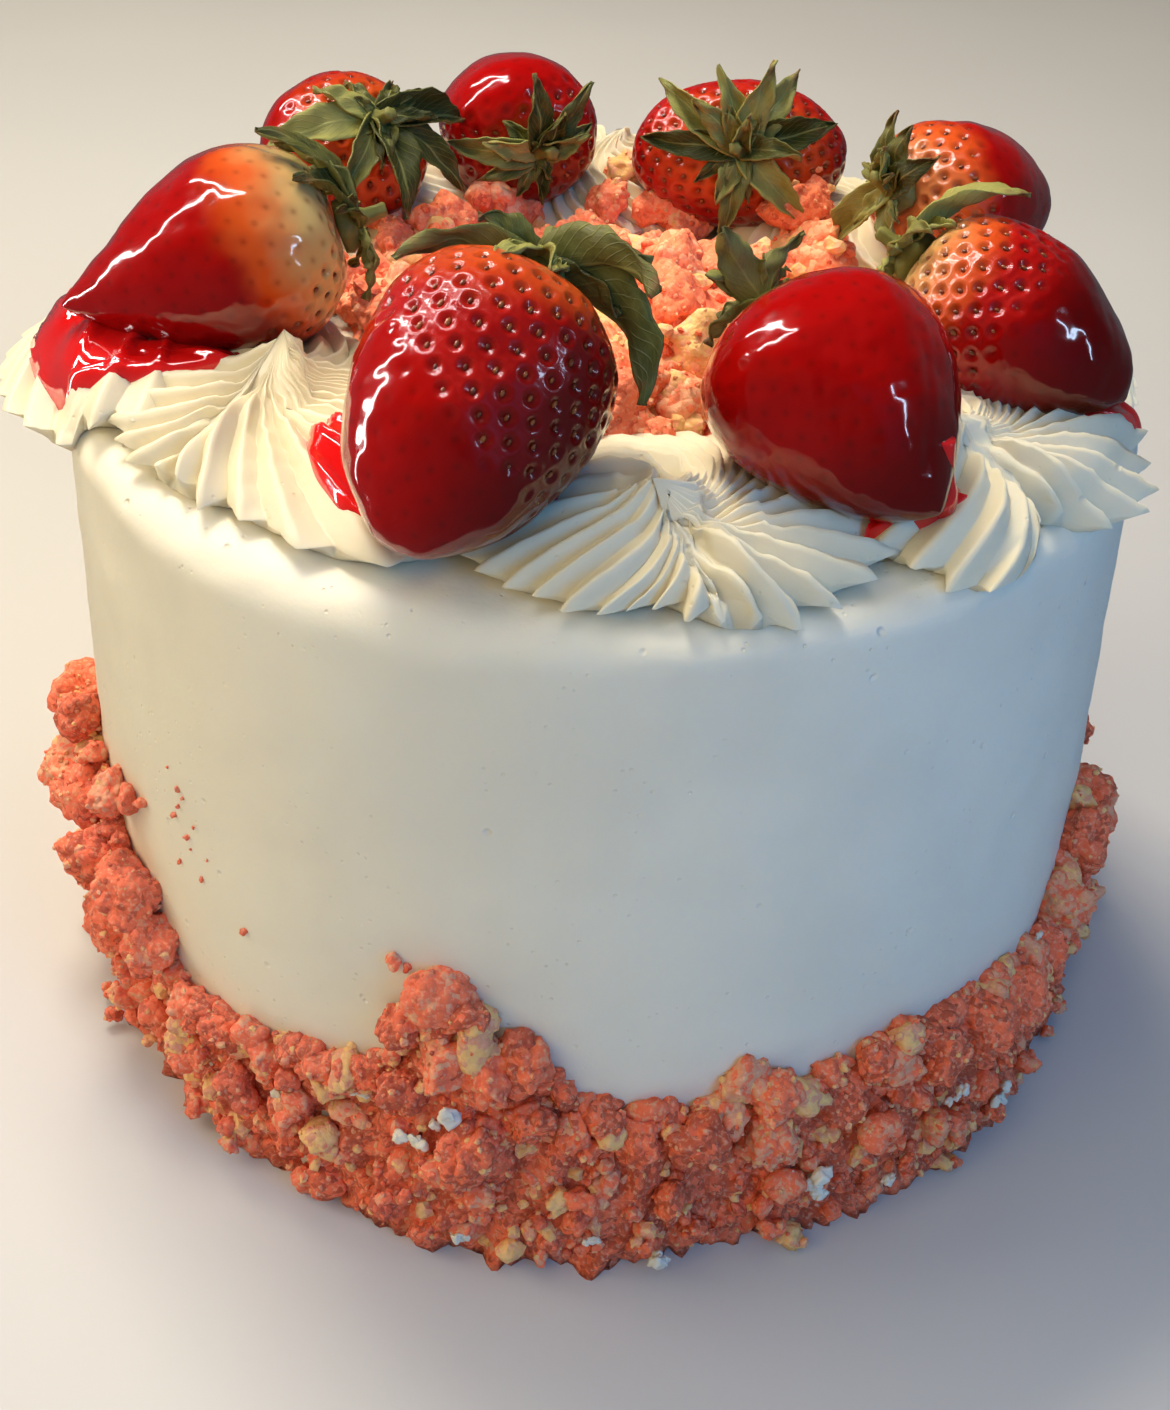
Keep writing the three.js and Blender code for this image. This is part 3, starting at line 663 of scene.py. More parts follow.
@made_once("materials")
def leaf_material(name, colours):
    material, nodes, shader = new_material(name, {"Specular IOR Level": 0.22})
    place = nodes.place()
    along = nodes.attribute("along")
    across = nodes.attribute("across")
    pale = nodes.attribute("pale")
    patch = nodes.noise(place, 330.0, 4.0, 0.65)
    side = nodes.maths("ABSOLUTE", across)
    rib = nodes.band(side, 0.02, 0.10, 1.0, 0.0)
    # Veins leave the midrib at a slant and run to the edge.
    slant = nodes.plus(nodes.times(along, 11.0), nodes.times(side, -3.4))
    vein = nodes.band(nodes.maths("PINGPONG", slant, 0.5), 0.0, 0.12, 1.0, 0.0)
    fibre = nodes.noise(nodes.add("ShaderNodeCombineXYZ", {
        "X": nodes.times(along, 3.0), "Y": nodes.times(across, 26.0), "Z": pale,
    }).outputs[0], 1.0, 3.0, 0.6)
    tone = nodes.band(nodes.plus(pale, nodes.times(patch, 0.5)), 0.25, 1.5)
    colour = nodes.blend(tone, colours.leaf_dark, colours.leaf_pale)
    light = tuple(min(1.0, 1.2 * channel + 0.02) for channel in colours.leaf_pale)
    marks = nodes.times(nodes.maths("MAXIMUM", rib, nodes.times(vein, 0.5)), 0.32)
    colour = nodes.blend(marks, colour, light)
    colour = nodes.blend(nodes.band(fibre, 0.5, 0.75, 0.0, 0.2), colour, light)
    dry = (0.17, 0.075, 0.03)
    dry_edge = nodes.times(nodes.band(along, 0.72, 1.0), nodes.band(patch, 0.45, 0.65))
    nodes.feed(shader["Base Color"], nodes.blend(dry_edge, colour, dry))
    height = nodes.plus(nodes.maths("MAXIMUM", rib, vein), nodes.times(fibre, 0.8))
    nodes.feed(shader["Normal"], nodes.bump(height, 0.5, 0.0003))
    nodes.feed(shader["Roughness"], nodes.band(patch, 0.3, 0.7, 0.38, 0.62))
    return material


@made_once("materials")
def crumb_material(name, colours, painted_light_gain=1.0, clouds=0.75):
    """Baked crumb. gain: how much brighter it is painted than in the skirt, as painted light. clouds: how
    much its tone varies.
    """
    material, nodes, shader = new_material(name, {
        "Subsurface Weight": 0.12, "Subsurface Radius": (1.0, 0.35, 0.2), "Subsurface Scale": 0.002,
    })

    def lighter(colour):
        return tuple(min(0.92, painted_light_gain * channel) for channel in colour)

    grain = use_group(nodes, grain_group("Grain"))
    tone = nodes.attribute("tone")
    cloud = nodes.times(nodes.minus(grain["Tone"], 0.5), clouds)
    each = nodes.times(nodes.minus(grain["Lot"], 0.5), 0.5)
    mixed = nodes.plus(nodes.plus(tone, cloud), each)
    dark, coral, golden = lighter(colours.crumb_dark), lighter(colours.crumb_coral), colours.crumb_golden
    colour = nodes.blend(nodes.band(mixed, 0.0, 0.36), dark, coral)
    colour = nodes.blend(nodes.band(mixed, 0.52, 0.70), colour, lighter(colours.crumb_tan))
    colour = nodes.blend(nodes.band(mixed, 0.80, 0.98), colour, golden)
    light = (0.88, 0.52, 0.34)
    nodes.feed(shader["Base Color"], nodes.blend(nodes.times(grain["Speckle"], 0.4), colour, light))
    nodes.feed(shader["Roughness"], nodes.band(grain["Height"], 0.4, 1.0, 0.85, 0.6))
    nodes.feed(shader["Normal"], nodes.bump(grain["Height"], 0.7, 0.0006))
    return material


# ---- Geometry Nodes that place what repeats ------------------------------------------------------


def shape_tree(name, sockets):
    """A Geometry Nodes tree with a geometry input and output and further named inputs."""
    tree = bpy.data.node_groups.new(name, "GeometryNodeTree")
    tree.interface.new_socket("Geometry", in_out="INPUT", socket_type="NodeSocketGeometry")
    for socket, kind, default in sockets:
        made = tree.interface.new_socket(socket, in_out="INPUT", socket_type=kind)
        if default is not None:
            made.default_value = default
    tree.interface.new_socket("Geometry", in_out="OUTPUT", socket_type="NodeSocketGeometry")
    nodes = Nodes(tree)
    return nodes, nodes.add("NodeGroupInput").outputs, nodes.add("NodeGroupOutput")


def random_value(nodes, kind, low, high, seed):
    """A random value for each point, of kind FLOAT or FLOAT_VECTOR."""
    node = nodes.add("FunctionNodeRandomValue", data_type=kind)
    lows = [socket for socket in node.inputs if socket.name == "Min" and socket.enabled]
    highs = [socket for socket in node.inputs if socket.name == "Max" and socket.enabled]
    nodes.feed(lows[0], low)
    nodes.feed(highs[0], high)
    nodes.feed(node.inputs["Seed"], seed)
    return [socket for socket in node.outputs if socket.enabled][0]


def stored(nodes, geometry, name, value):
    """Gives each instance a named value."""
    node = nodes.add("GeometryNodeStoreNamedAttribute", {"Geometry": geometry, "Name": name},
                     data_type="FLOAT", domain="INSTANCE")
    nodes.feed(node.inputs["Value"], value)
    return node.outputs[0]


def painted(nodes, last, material, result):
    """Sets the material of what the last node makes, as the end of a tree."""
    node = nodes.add("GeometryNodeSetMaterial", {"Geometry": last.outputs[0], "Material": material})
    nodes.feed(result.inputs[0], node.outputs[0])
    return nodes.tree


@made_once("node_groups")
def scatter_tree(name):
    """Scatters crumbs of three shapes over the surface it is given, more where "cover" is high."""
    nodes, given, result = shape_tree(name, [
        ("Shape A", "NodeSocketObject", None), ("Shape B", "NodeSocketObject", None),
        ("Shape C", "NodeSocketObject", None), ("Density", "NodeSocketFloat", 1000.0),
        ("Smallest", "NodeSocketFloat", 0.001), ("Largest", "NodeSocketFloat", 0.002),
        ("Golden", "NodeSocketFloat", 0.12), ("Golden tone", "NodeSocketFloat", GOLDEN_TONE),
        ("Seed", "NodeSocketInt", 1), ("Material", "NodeSocketMaterial", None),
    ])
    seed = given["Seed"]
    cover = nodes.add("GeometryNodeInputNamedAttribute", {"Name": "cover"}, data_type="FLOAT")
    spots = nodes.add("GeometryNodeDistributePointsOnFaces", {"Mesh": given["Geometry"], "Seed": seed})
    density = nodes.times(given["Density"], cover.outputs["Attribute"])
    nodes.feed(spots.inputs["Density"], density)
    shapes = nodes.add("GeometryNodeJoinGeometry")
    for letter in "CBA":
        shape = nodes.add("GeometryNodeObjectInfo", {"As Instance": True, "Object": given[f"Shape {letter}"]})
        nodes.feed(shapes.inputs[0], shape.outputs["Geometry"])
    turn = random_value(nodes, "FLOAT_VECTOR", (0.0, 0.0, 0.0), (6.283, 6.283, 6.283), seed)
    lot = random_value(nodes, "FLOAT", 0.0, 1.0, nodes.plus(seed, 11.0))
    # Small crumbs are the most usual: the share of the range grows with the square of the lot.
    share = nodes.maths("POWER", lot, 2.0)
    spread = nodes.minus(given["Largest"], given["Smallest"])
    placed = nodes.add("GeometryNodeInstanceOnPoints", {
        "Points": spots.outputs["Points"], "Instance": shapes.outputs[0], "Pick Instance": True,
        "Rotation": turn, "Scale": nodes.maths("MULTIPLY_ADD", spread, share, given["Smallest"]),
    })
    tint = random_value(nodes, "FLOAT", 0.05, 0.80, nodes.plus(seed, 23.0))
    lot = random_value(nodes, "FLOAT", 0.0, 1.0, nodes.plus(seed, 37.0))
    is_golden = nodes.maths("LESS_THAN", lot, given["Golden"])
    tone = nodes.maths("MAXIMUM", tint, nodes.times(is_golden, given["Golden tone"]))
    toned = stored(nodes, placed.outputs[0], "tone", tone)
    real = nodes.add("GeometryNodeRealizeInstances", {"Geometry": toned})
    return painted(nodes, real, given["Material"], result)


@made_once("node_groups")
def seed_tree(name):
    """Sets one seed on each vertex it is given, lying along that vertex's "turn"."""
    nodes, given, result = shape_tree(name, [
        ("Length", "NodeSocketFloat", 0.0015), ("Width", "NodeSocketFloat", 0.0009),
        ("Thickness", "NodeSocketFloat", 0.0007), ("Seed", "NodeSocketInt", 1),
        ("Material", "NodeSocketMaterial", None),
    ])
    ball = nodes.add("GeometryNodeMeshUVSphere", {"Segments": 6, "Rings": 5, "Radius": 0.5})
    size = nodes.add("ShaderNodeCombineXYZ", {
        "X": given["Length"], "Y": given["Width"], "Z": given["Thickness"],
    })
    seed_shape = nodes.add("GeometryNodeTransform", {
        "Geometry": ball.outputs["Mesh"], "Scale": size.outputs[0],
    })
    turn = nodes.add("GeometryNodeInputNamedAttribute", {"Name": "turn"}, data_type="FLOAT_VECTOR")
    growth = random_value(nodes, "FLOAT", 0.8, 1.15, given["Seed"])
    placed = nodes.add("GeometryNodeInstanceOnPoints", {
        "Points": given["Geometry"], "Instance": seed_shape.outputs[0],
        "Rotation": turn.outputs["Attribute"], "Scale": growth,
    })
    tone = random_value(nodes, "FLOAT", 0.15, 1.0, nodes.plus(given["Seed"], 5.0))
    toned = stored(nodes, placed.outputs[0], "tone", tone)
    real = nodes.add("GeometryNodeRealizeInstances", {"Geometry": toned})
    smooth = nodes.add("GeometryNodeSetShadeSmooth", {"Geometry": real.outputs[0]})
    return painted(nodes, smooth, given["Material"], result)


def made_by_tree(base, tree, name, inputs):
    """The plain mesh that the tree makes of the base, which is removed."""
    modifier = base.modifiers.new(tree.name, "NODES")
    modifier.node_group = tree
    sockets = {item.name: item.identifier for item in tree.interface.items_tree
               if item.in_out == "INPUT"}
    for key, value in inputs.items():
        modifier[sockets[key]] = value
    graph = bpy.context.evaluated_depsgraph_get()
    graph.update()
    mesh = bpy.data.meshes.new_from_object(base.evaluated_get(graph), depsgraph=graph)
    mesh.name = name
    base.modifiers.remove(modifier)
    bpy.data.objects.remove(base)
    piece = bpy.data.objects.new(name, mesh)
    bpy.context.scene.collection.objects.link(piece)
    return piece


# ---- The frosted round ---------------------------------------------------------------------------


def side_radius(sizes, z):
    return sizes.base_radius + (sizes.top_radius - sizes.base_radius) * z / sizes.height


def rim_rounding(sizes, azimuth):
    """The rim is softer at the front left, where the knife left it."""
    softer, middle, spread = 0.0035, -122, 38
    return sizes.rim_rounding + softer * bell(azimuth, middle, spread)


def frosted_rings(sizes):
    """Rings of the frosted skin, up the side, round the rim and in to the middle of the top."""
    columns, side_rows, rim_rows = 320, 46, 12
    azimuth = np.arange(columns) * 360 / columns
    rounding = rim_rounding(sizes, azimuth)
    rings = []
    for i in range(side_rows):
        z = (sizes.height - rounding) * i / (side_rows - 1)
        rings.append(polar(azimuth, side_radius(sizes, z), z))
    centre = side_radius(sizes, sizes.height - rounding) - rounding
    for i in range(1, rim_rows + 1):
        angle = i / rim_rows * math.pi / 2
        r = centre + rounding * math.cos(angle)
        rings.append(polar(azimuth, r, sizes.height - rounding * (1 - math.sin(angle))))
    top_shares = (0.985, 0.96, 0.92, 0.85, 0.7, 0.45, 0.2)
    rings.extend(polar(azimuth, centre * share, sizes.height) for share in top_shares)
    rings = np.array(rings)
    # The spatula leaves long shallow waves that run round, and short ones on the rim.
    flat = rings * np.array([1.0, 1.0, 2.2])
    uneven = 0.00032 * waves(flat, 0.07, 3) + 0.00010 * waves(rings, 0.012, 4)
    lifted = smoothstep(0.0, 0.01, rings[..., 2])
    outward = rings / np.linalg.norm(rings[..., :2], axis=-1)[..., None]
    outward[..., 2] = 0
    on_top = smoothstep(sizes.height - 0.004, sizes.height, rings[..., 2])
    rings = rings + outward * (uneven * lifted * (1 - on_top))[..., None]
    rings[..., 2] += 0.0004 * on_top * waves(rings, 0.03, 5)
    return rings


class CAKE_OT_frosted_round(bpy.types.Operator):
    """Makes the smooth frosted round that carries everything else"""

    bl_idname = "cake.frosted_round"
    bl_label = "Frosted Round"

    def execute(self, context):
        sizes, colours = context.scene.cake_sizes, context.scene.cake_colours
        material = smooth_frosting(colours)
        skin = closed_rings(frosted_rings(sizes), (0, 0, 0), (0, 0, sizes.height))
        make_piece("frosted_round", skin, material, "frosting", "cake_round")
        return {"FINISHED"}


# ---- Piped swirls --------------------------------------------------------------------------------


def swirl_reach(angle, reaches):
    """How far a swirl reaches from its peak at an angle, as its node does."""
    steps = np.array(reaches, float) * MM
    place = (angle / 360 % 1) * len(steps)
    before = np.floor(place).astype(int) % len(steps)
    share = smoothstep(0, 1, place - np.floor(place))
    return steps[before] * (1 - share) + steps[(before + 1) % len(steps)] * share


def frosted_ground(sizes, x, y):
    """Height of the frosted top under a spot, falling away over the rim."""
    radius = np.hypot(x, y)
    rounding, fall = 0.007, 1.1
    over = np.clip(radius - (sizes.top_radius - rounding), 0, rounding)
    drop = rounding - np.sqrt(np.maximum(rounding**2 - over**2, 0))
    return sizes.height - drop - fall * np.maximum(radius - sizes.top_radius, 0)


def ridge_ends(row, rng):
    """The angles at which the ridges meet: broad bands on the left half, narrow pleats on the right."""
    broad, narrow, broad_arc = 10, 19, 132
    widths = np.concatenate([
        rng.uniform(0.8, 1.25, broad) * broad_arc / broad,
        rng.uniform(0.8, 1.25, narrow) * (360 - broad_arc) / narrow,
    ])
    widths *= 360 / widths.sum()
    return row["crease"] + np.concatenate([[0], np.cumsum(widths)]), broad


def ridge_crests(within, on_left):
    """How high a ridge is across its width, from 0 to 1.

    A band on the left rises slowly to a sharp crest near its lower edge. A pleat has its crest in the middle.
    """
    steep = 0.30
    band = np.where(within < steep, (within / steep) ** 0.9, ((1 - within) / (1 - steep)) ** 1.25)
    pleat = 1 - np.abs(2 * within - 1) ** 1.05
    return np.where(on_left, band, pleat)


def swirl_surface(sizes, row, seed, samples):
    """Rings of the swirl's skin, from its peak out over its tips and in under its foot, and its two ends."""
    fan_along, fan_out, fan_sink = 0.0040, 0.0028, 0.0020
    groove_depth, groove_beside, groove_width = 0.0030, 0.0008, 0.0015
    wall_height, wall_beside, wall_width = 0.0020, 0.0030, 0.0024
    notch_depth, notch_width = 0.13, 8
    peak_radius_share = 0.28
    rng = np.random.default_rng(seed)
    ends, broad = ridge_ends(row, rng)
    count = len(ends) - 1
    step = (1 - np.cos(np.pi * np.arange(samples) / samples)) / 2
    end = np.concatenate([ends[i] + (ends[i + 1] - ends[i]) * step for i in range(count)])
    ridge = np.repeat(np.arange(count), samples)
    within = np.tile(step, count)
    crest = ridge_crests(within, ridge < broad)
    vigour = rng.uniform(0.75, 1.2, count)[ridge]
    # Left of the crease the bands leave the peak along the crease and bend off it side by side, like the
    # barbs of a feather. Behind the peak they come round it. On the right half the pleats fan out from a
    # spot beside the peak.
    left_of, right_of = (end - row["crease"]) % 360, (row["crease"] - end) % 360
    from_crease = np.minimum(left_of, right_of)
    swing = 12 + 26 * bell(end, row["crease"] + 66, 60) + 88 * bell(end, row["crease"] + 170, 58)
    feather = smoothstep(0, 4, left_of) * (1 - smoothstep(92, 150, left_of))
    fan = smoothstep(0, 9, right_of) * (1 - smoothstep(90, 190, right_of))
    c = math.radians(row["crease"])
    crease_x, crease_y = math.cos(c), math.sin(c)
    crease_reach = float(swirl_reach(np.array(row["crease"]), row["reach"]))
    notch = 1 - notch_depth * np.exp(-((from_crease / notch_width) ** 2))
    tip = notch * swirl_reach(end, row["reach"])
    tip_x, tip_y = tip * np.cos(np.radians(end)), tip * np.sin(np.radians(end))
    leave = np.maximum(0.90 * tip * np.cos(np.radians(np.minimum(left_of, 180))), -0.10 * tip)
    across = np.hypot(tip_x - leave * crease_x, tip_y - leave * crease_y)
    bend = math.radians(row["crease"] + 70)
    bend_x = leave * crease_x + 0.40 * across * math.cos(bend)
    bend_y = leave * crease_y + 0.40 * across * math.sin(bend)
    heading = np.arctan2(tip_y - bend_y, tip_x - bend_x)
    pointed = vigour * (1 - 0.75 * bell(end, row["crease"] + 175, 55)) * smoothstep(0, 14, from_crease)

    shares = np.sin(np.linspace(0.045, 1.0, 38) * np.pi / 2) ** 1.15
    peak_at = polar(row["azimuth"], row["radius"], sizes.height)
    along = polar(row["azimuth"] + 90, 1.0, 0.0)
    out = polar(row["azimuth"], 1.0, 0.0)
    dome, peak, edge = row["dome"] * MM, row["peak"] * MM, row.get("edge", 3.0) * MM
    lean = rng.uniform(-0.0015, 0.0015, 2)
    first = np.arange(count) * samples

    def placed(x, y, height):
        return peak_at + x[:, None] * along + y[:, None] * out + height[:, None] * np.array([0, 0, 1.0])

    rings = []
    for share in shares:
        angle = np.radians(end + swing * (1 - share) + 30 * (1 - share) ** 6)
        away = share * swirl_reach(np.degrees(angle), row["reach"]) * (1 + (notch - 1) * share**2)
        x = away * np.cos(angle) + (1 - share) * fan_along * fan
        y = away * np.sin(angle) + (1 - share) * fan_out * fan
        early, late = 3 * share * (1 - share) ** 2, 3 * share**2 * (1 - share)
        barb_x = early * 0.85 * leave * crease_x + late * bend_x + share**3 * tip_x
        barb_y = early * 0.85 * leave * crease_y + late * bend_y + share**3 * tip_y
        x, y = x + feather * (barb_x - x), y + feather * (barb_y - y)
        far, facing = np.hypot(x, y), np.arctan2(y, x)
        level = np.clip(far / swirl_reach(np.degrees(facing), row["reach"]), 0, 1)
        height = edge + (dome - edge) * (1 - level**2.1) ** 0.78
        # The bands left of the crease dive under the first pleat on its right.
        beside = y * crease_x - x * crease_y
        run = smoothstep(0.12, 0.5, (x * crease_x + y * crease_y) / crease_reach)
        height = height - groove_depth * run * np.exp(-(((beside - groove_beside) / groove_width) ** 2))
        wall = np.exp(-(((beside + wall_beside) / wall_width) ** 2))
        height = height + wall_height * (run * (1 - smoothstep(0.7, 1.0, level)) * wall)
        # A ridge is no taller than its own width lets it be.
        width = np.hypot(np.roll(x[first], -1) - x[first], np.roll(y[first], -1) - y[first])[ridge]
        tilt = math.radians(4 + 74 * share**3)
        depth = sizes.ridge_depth * vigour * (0.12 + 0.88 * smoothstep(0.02, 0.45, share))
        relief = np.minimum(depth, 0.6 * width) * (crest - 0.6)
        sideways = relief * math.sin(tilt)
        sideways = sideways + sizes.tip_reach * pointed * (crest - 0.35) * smoothstep(0.75, 1.0, share)
        towards_tip = facing + feather * ((heading - facing + np.pi) % (2 * np.pi) - np.pi) * share
        x, y = x + sideways * np.cos(towards_tip), y + sideways * np.sin(towards_tip)
        near = np.clip(1 - level / peak_radius_share, 0, 1)
        height = height + relief * math.cos(tilt) + peak * near**1.5
        height = height - fan_sink * fan * (1 - share) ** 2 * smoothstep(0.04, 0.2, share)
        ring = placed(x, y, height)
        ring[:, :2] += np.outer(near**2, lean)
        rings.append(ring)
    # Under the tips the skin turns back in and meets the frosting.
    outer, facing = swirl_reach(end, row["reach"]), np.radians(end)
    for inset, height in ((0.0022, 0.4 * edge), (0.0050, -0.0008)):
        inner = outer - inset
        rings.append(placed(inner * np.cos(facing), inner * np.sin(facing), height + 0 * end))
    rings = np.array(rings)
    # Stiff frosting follows the rim down only a little.
    ground = frosted_ground(sizes, rings[..., 0], rings[..., 1]) - sizes.height
    follow = smoothstep(0.45, 1.0, np.concatenate([shares, [1, 1]]))[:, None]
    rings[..., 2] += np.maximum(ground, -row.get("droop", 3.0) * MM) * follow
    # Near the peak the frosting is torn and lumpy, further out it is nearly smooth.
    torn = 0.00016 + 0.0008 * row.get("torn", 1.0) * (1 - np.concatenate([shares, [1, 1]]))[:, None] ** 4
    rings += (torn * waves(rings, 0.006, seed + 50))[..., None]
    top = peak_at + [*lean, dome + 1.06 * peak]
    return rings, top, peak_at - [0, 0, 0.0008]


class CAKE_OT_swirls(bpy.types.Operator):
    """Pipes the eight ridged swirls along the rim"""

    bl_idname = "cake.swirls"
    bl_label = "Piped Swirls"

    def execute(self, context):
        sizes, colours = context.scene.cake_sizes, context.scene.cake_colours
        material = frosting_material("Piped frosting", colours.piping, 0.00022, 0.42)
        for i, row in enumerate(SWIRLS, 1):
            skin = closed_rings(*swirl_surface(sizes, row, seed=i, samples=12))
            make_piece(f"piped_swirl_{i}", skin, material, "piping", f"swirl_{i}")
        return {"FINISHED"}


# ---- Strawberries --------------------------------------------------------------------------------


def berry_axes(sizes, berry):
    """The berry's frame as a 4x4 matrix: its +Z leaves it at the leafy end, +Y is its upper side."""
    dip, heading = math.radians(berry["dip"]), math.radians(berry["heading"])
    tip = Vector((math.cos(dip) * math.cos(heading), math.cos(dip) * math.sin(heading), -math.sin(dip)))
    z_axis = -tip
    y_axis = (Vector((0, 0, 1)) - z_axis * z_axis.z).normalized()
    x_axis = y_axis.cross(z_axis)
    middle = Vector(berry["at"]) * MM + Vector((0, 0, sizes.height))
    leafy_end = middle + z_axis * berry["length"] * MM / 2
    return np.array([[*x_axis, 0], [*y_axis, 0], [*z_axis, 0], [*leafy_end, 1]]).T


def berry_radius(share, taper):
    """Radius of a berry of unit width, from its leafy end (0) to its tip (1)."""
    widest = 0.36
    to_end = np.where(share < widest, (widest - share) / widest, (share - widest) / (1 - widest))
    to_end = np.clip(to_end, 0, 1)
    shoulder = 0.5 * (1 - to_end**2.2) ** 0.5
    tip = 0.5 * (1 - to_end ** (1.9 / taper)) ** (0.72 * taper)
    return np.where(share < widest, shoulder, tip)


def berry_points(berry, axes, share, turn, seed):
    """Points of the skin, at shares of the length and turns in radians."""
    r = berry_radius(share, berry["taper"]) * berry["width"] * MM
    local = np.stack([r * np.cos(turn), r * berry["flat"] * np.sin(turn),
                      -share * berry["length"] * MM], -1)
    middle = np.array([0, 0, -0.42 * berry["length"] * MM])
    lumps = 0.022 * waves(local, 0.03, seed) + 0.010 * waves(local, 0.013, seed + 1)
    local = middle + (local - middle) * (1 + lumps * smoothstep(0, 0.12, share))[..., None]
    # The shoulder dips in to where the leaves grow.
    dip, dip_radius = 0.0022, 0.006
    from_axis = np.hypot(local[..., 0], local[..., 1])
    local[..., 2] -= dip * np.exp(-((from_axis / dip_radius) ** 2)) * (share < 0.3)
    return local @ axes[:3, :3].T + axes[:3, 3]


def seed_places(berry, spacing):
    """Shares and turns of the seeds, evenly spread over the skin along a spiral."""
    grid = np.linspace(0.0, 1.0, 400)
    r = berry_radius(grid, berry["taper"]) * berry["width"] * MM
    slope = np.hypot(np.diff(r), np.diff(grid) * berry["length"] * MM)
    area = np.concatenate([[0], np.cumsum(2 * np.pi * (r[1:] + r[:-1]) / 2 * slope)])
    count = int(area[-1] / (0.87 * spacing**2))
    golden_angle = np.pi * (3 - math.sqrt(5))
    first, last = 0.035, 0.985
    share = np.interp(np.linspace(first, last, count) * area[-1], area, grid)
    return share, (np.arange(count) * golden_angle) % (2 * np.pi)


def towards(points, middle, direction):
    """From -1 to 1: how much the points face the direction from the middle."""
    away = points - middle
    away = away / np.maximum(np.linalg.norm(away, axis=-1), 1e-9)[..., None]
    direction = np.array(direction) / np.linalg.norm(direction)
    return away @ direction


def berry_cover(berry, points, share, seed):
    """How much glaze, unripe skin and painted shade on the shaded side there is at the points, each from 0 to
    1.
    """
    middle = np.array(berry["at"]) * MM + np.array([0, 0, ROUND_BOX[1].z])
    direction, level = berry["glaze"]
    facing = towards(points, middle, direction) + 0.10 * waves(points, 0.02, seed + 7)
    glaze = smoothstep(level - 0.14, level + 0.20, facing)
    if level <= -1:
        glaze = np.ones_like(facing)
    direction, reach, strength = berry["pale"]
    side = smoothstep(-0.5, 0.7, towards(points, middle, direction))
    # Painted shade: the skin is painted darker on the side turned away from the lights.
    shade_direction, shade_strength = berry.get("ripe", USUAL_PAINTED_SHADE)
    ripe = shade_strength * smoothstep(-0.35, 0.85, towards(points, middle, shade_direction))
    edge = share - reach * (0.25 + 0.75 * side) + 0.03 * waves(points, 0.012, seed + 8)
    pale = strength * (1 - smoothstep(-0.28, 0.20, edge)) if strength else np.zeros_like(facing)
    return glaze, pale, ripe * (1 - pale)


def nearest_seed(points, seeds):
    """Distance from each point to the nearest of the seeds."""
    flat = points.reshape(-1, 3)
    nearest = np.full(len(flat), 1.0)
    for seed in seeds:
        nearest = np.minimum(nearest, ((flat - seed) ** 2).sum(1))
    return np.sqrt(nearest).reshape(points.shape[:-1])


def outward_normals(rings):
    along = np.gradient(rings, axis=0)
    around = (np.roll(rings, -1, axis=1) - np.roll(rings, 1, axis=1)) / 2
    normal = np.cross(along, around)
    normal /= np.maximum(np.linalg.norm(normal, axis=-1), 1e-12)[..., None]
    middle = rings.reshape(-1, 3).mean(0)
    if np.einsum("ijk,ijk->ij", normal, rings - middle).mean() < 0:
        normal = -normal
    return normal


def berry_skin(sizes, berry, axes, seed):
    """The pitted, glazed skin of a berry, with its values, and the places of its seeds."""
    rows, columns = (190, 250) if berry["fine"] else (120, 156)
    share = ((1 - np.cos(np.pi * np.arange(1, rows) / rows)) / 2)[:, None]
    turn = (np.arange(columns) * 2 * np.pi / columns)[None]
    rings = berry_points(berry, axes, share + 0 * turn, turn + 0 * share, seed)
    normal = outward_normals(rings)
    glaze, pale, ripe = berry_cover(berry, rings, share + 0 * turn, seed)
    seed_share, seed_turn = seed_places(berry, sizes.seed_spacing)
    seeds = berry_points(berry, axes, seed_share, seed_turn, seed)
    distance = nearest_seed(rings, seeds)
    pit_radius, pit_depth, glaze_depth = 0.00135, 0.00060, 0.0006
    brim_radius, brim_width, brim_height = 0.0016, 0.0004, 0.00012
    hollow = np.clip(1 - (distance / pit_radius) ** 2, 0, 1) ** 1.5
    bare = 1 - 0.94 * glaze
    pole = smoothstep(0.0, 0.02, share) * smoothstep(1.0, 0.985, share)
    brim = brim_height * np.exp(-(((distance - brim_radius) / brim_width) ** 2))
    out = glaze_depth * glaze + (brim - pit_depth * hollow) * bare * pole
    rings = rings + normal * out[..., None]
    # Where the skin is painted darker by the pits: over each seed under the glaze, and as painted shade in
    # each bare pit.
    pit = np.exp(-((distance / (0.00085 - 0.00032 * glaze)) ** 2))
    ends = [berry_points(berry, axes, np.array([s]), np.array([0.0]), seed)[0] for s in (0.0, 1.0)]
    vertices, faces = closed_rings(rings, ends[0], ends[1] + normal[-1].mean(0) * glaze_depth)
    values = {"glaze": glaze, "pit": pit, "pale": pale, "ripe": ripe}
    last = {"glaze": glaze[-1].mean(), "pit": 0.0, "pale": 0.0, "ripe": ripe[-1].mean()}
    first = {"glaze": 0.0, "pit": 0.0, "pale": pale[0].mean(), "ripe": ripe[0].mean()}
    values = {key: np.append(v.ravel(), [first[key], last[key]]) for key, v in values.items()}
    return vertices, faces, values, (seed_share, seed_turn, seeds)


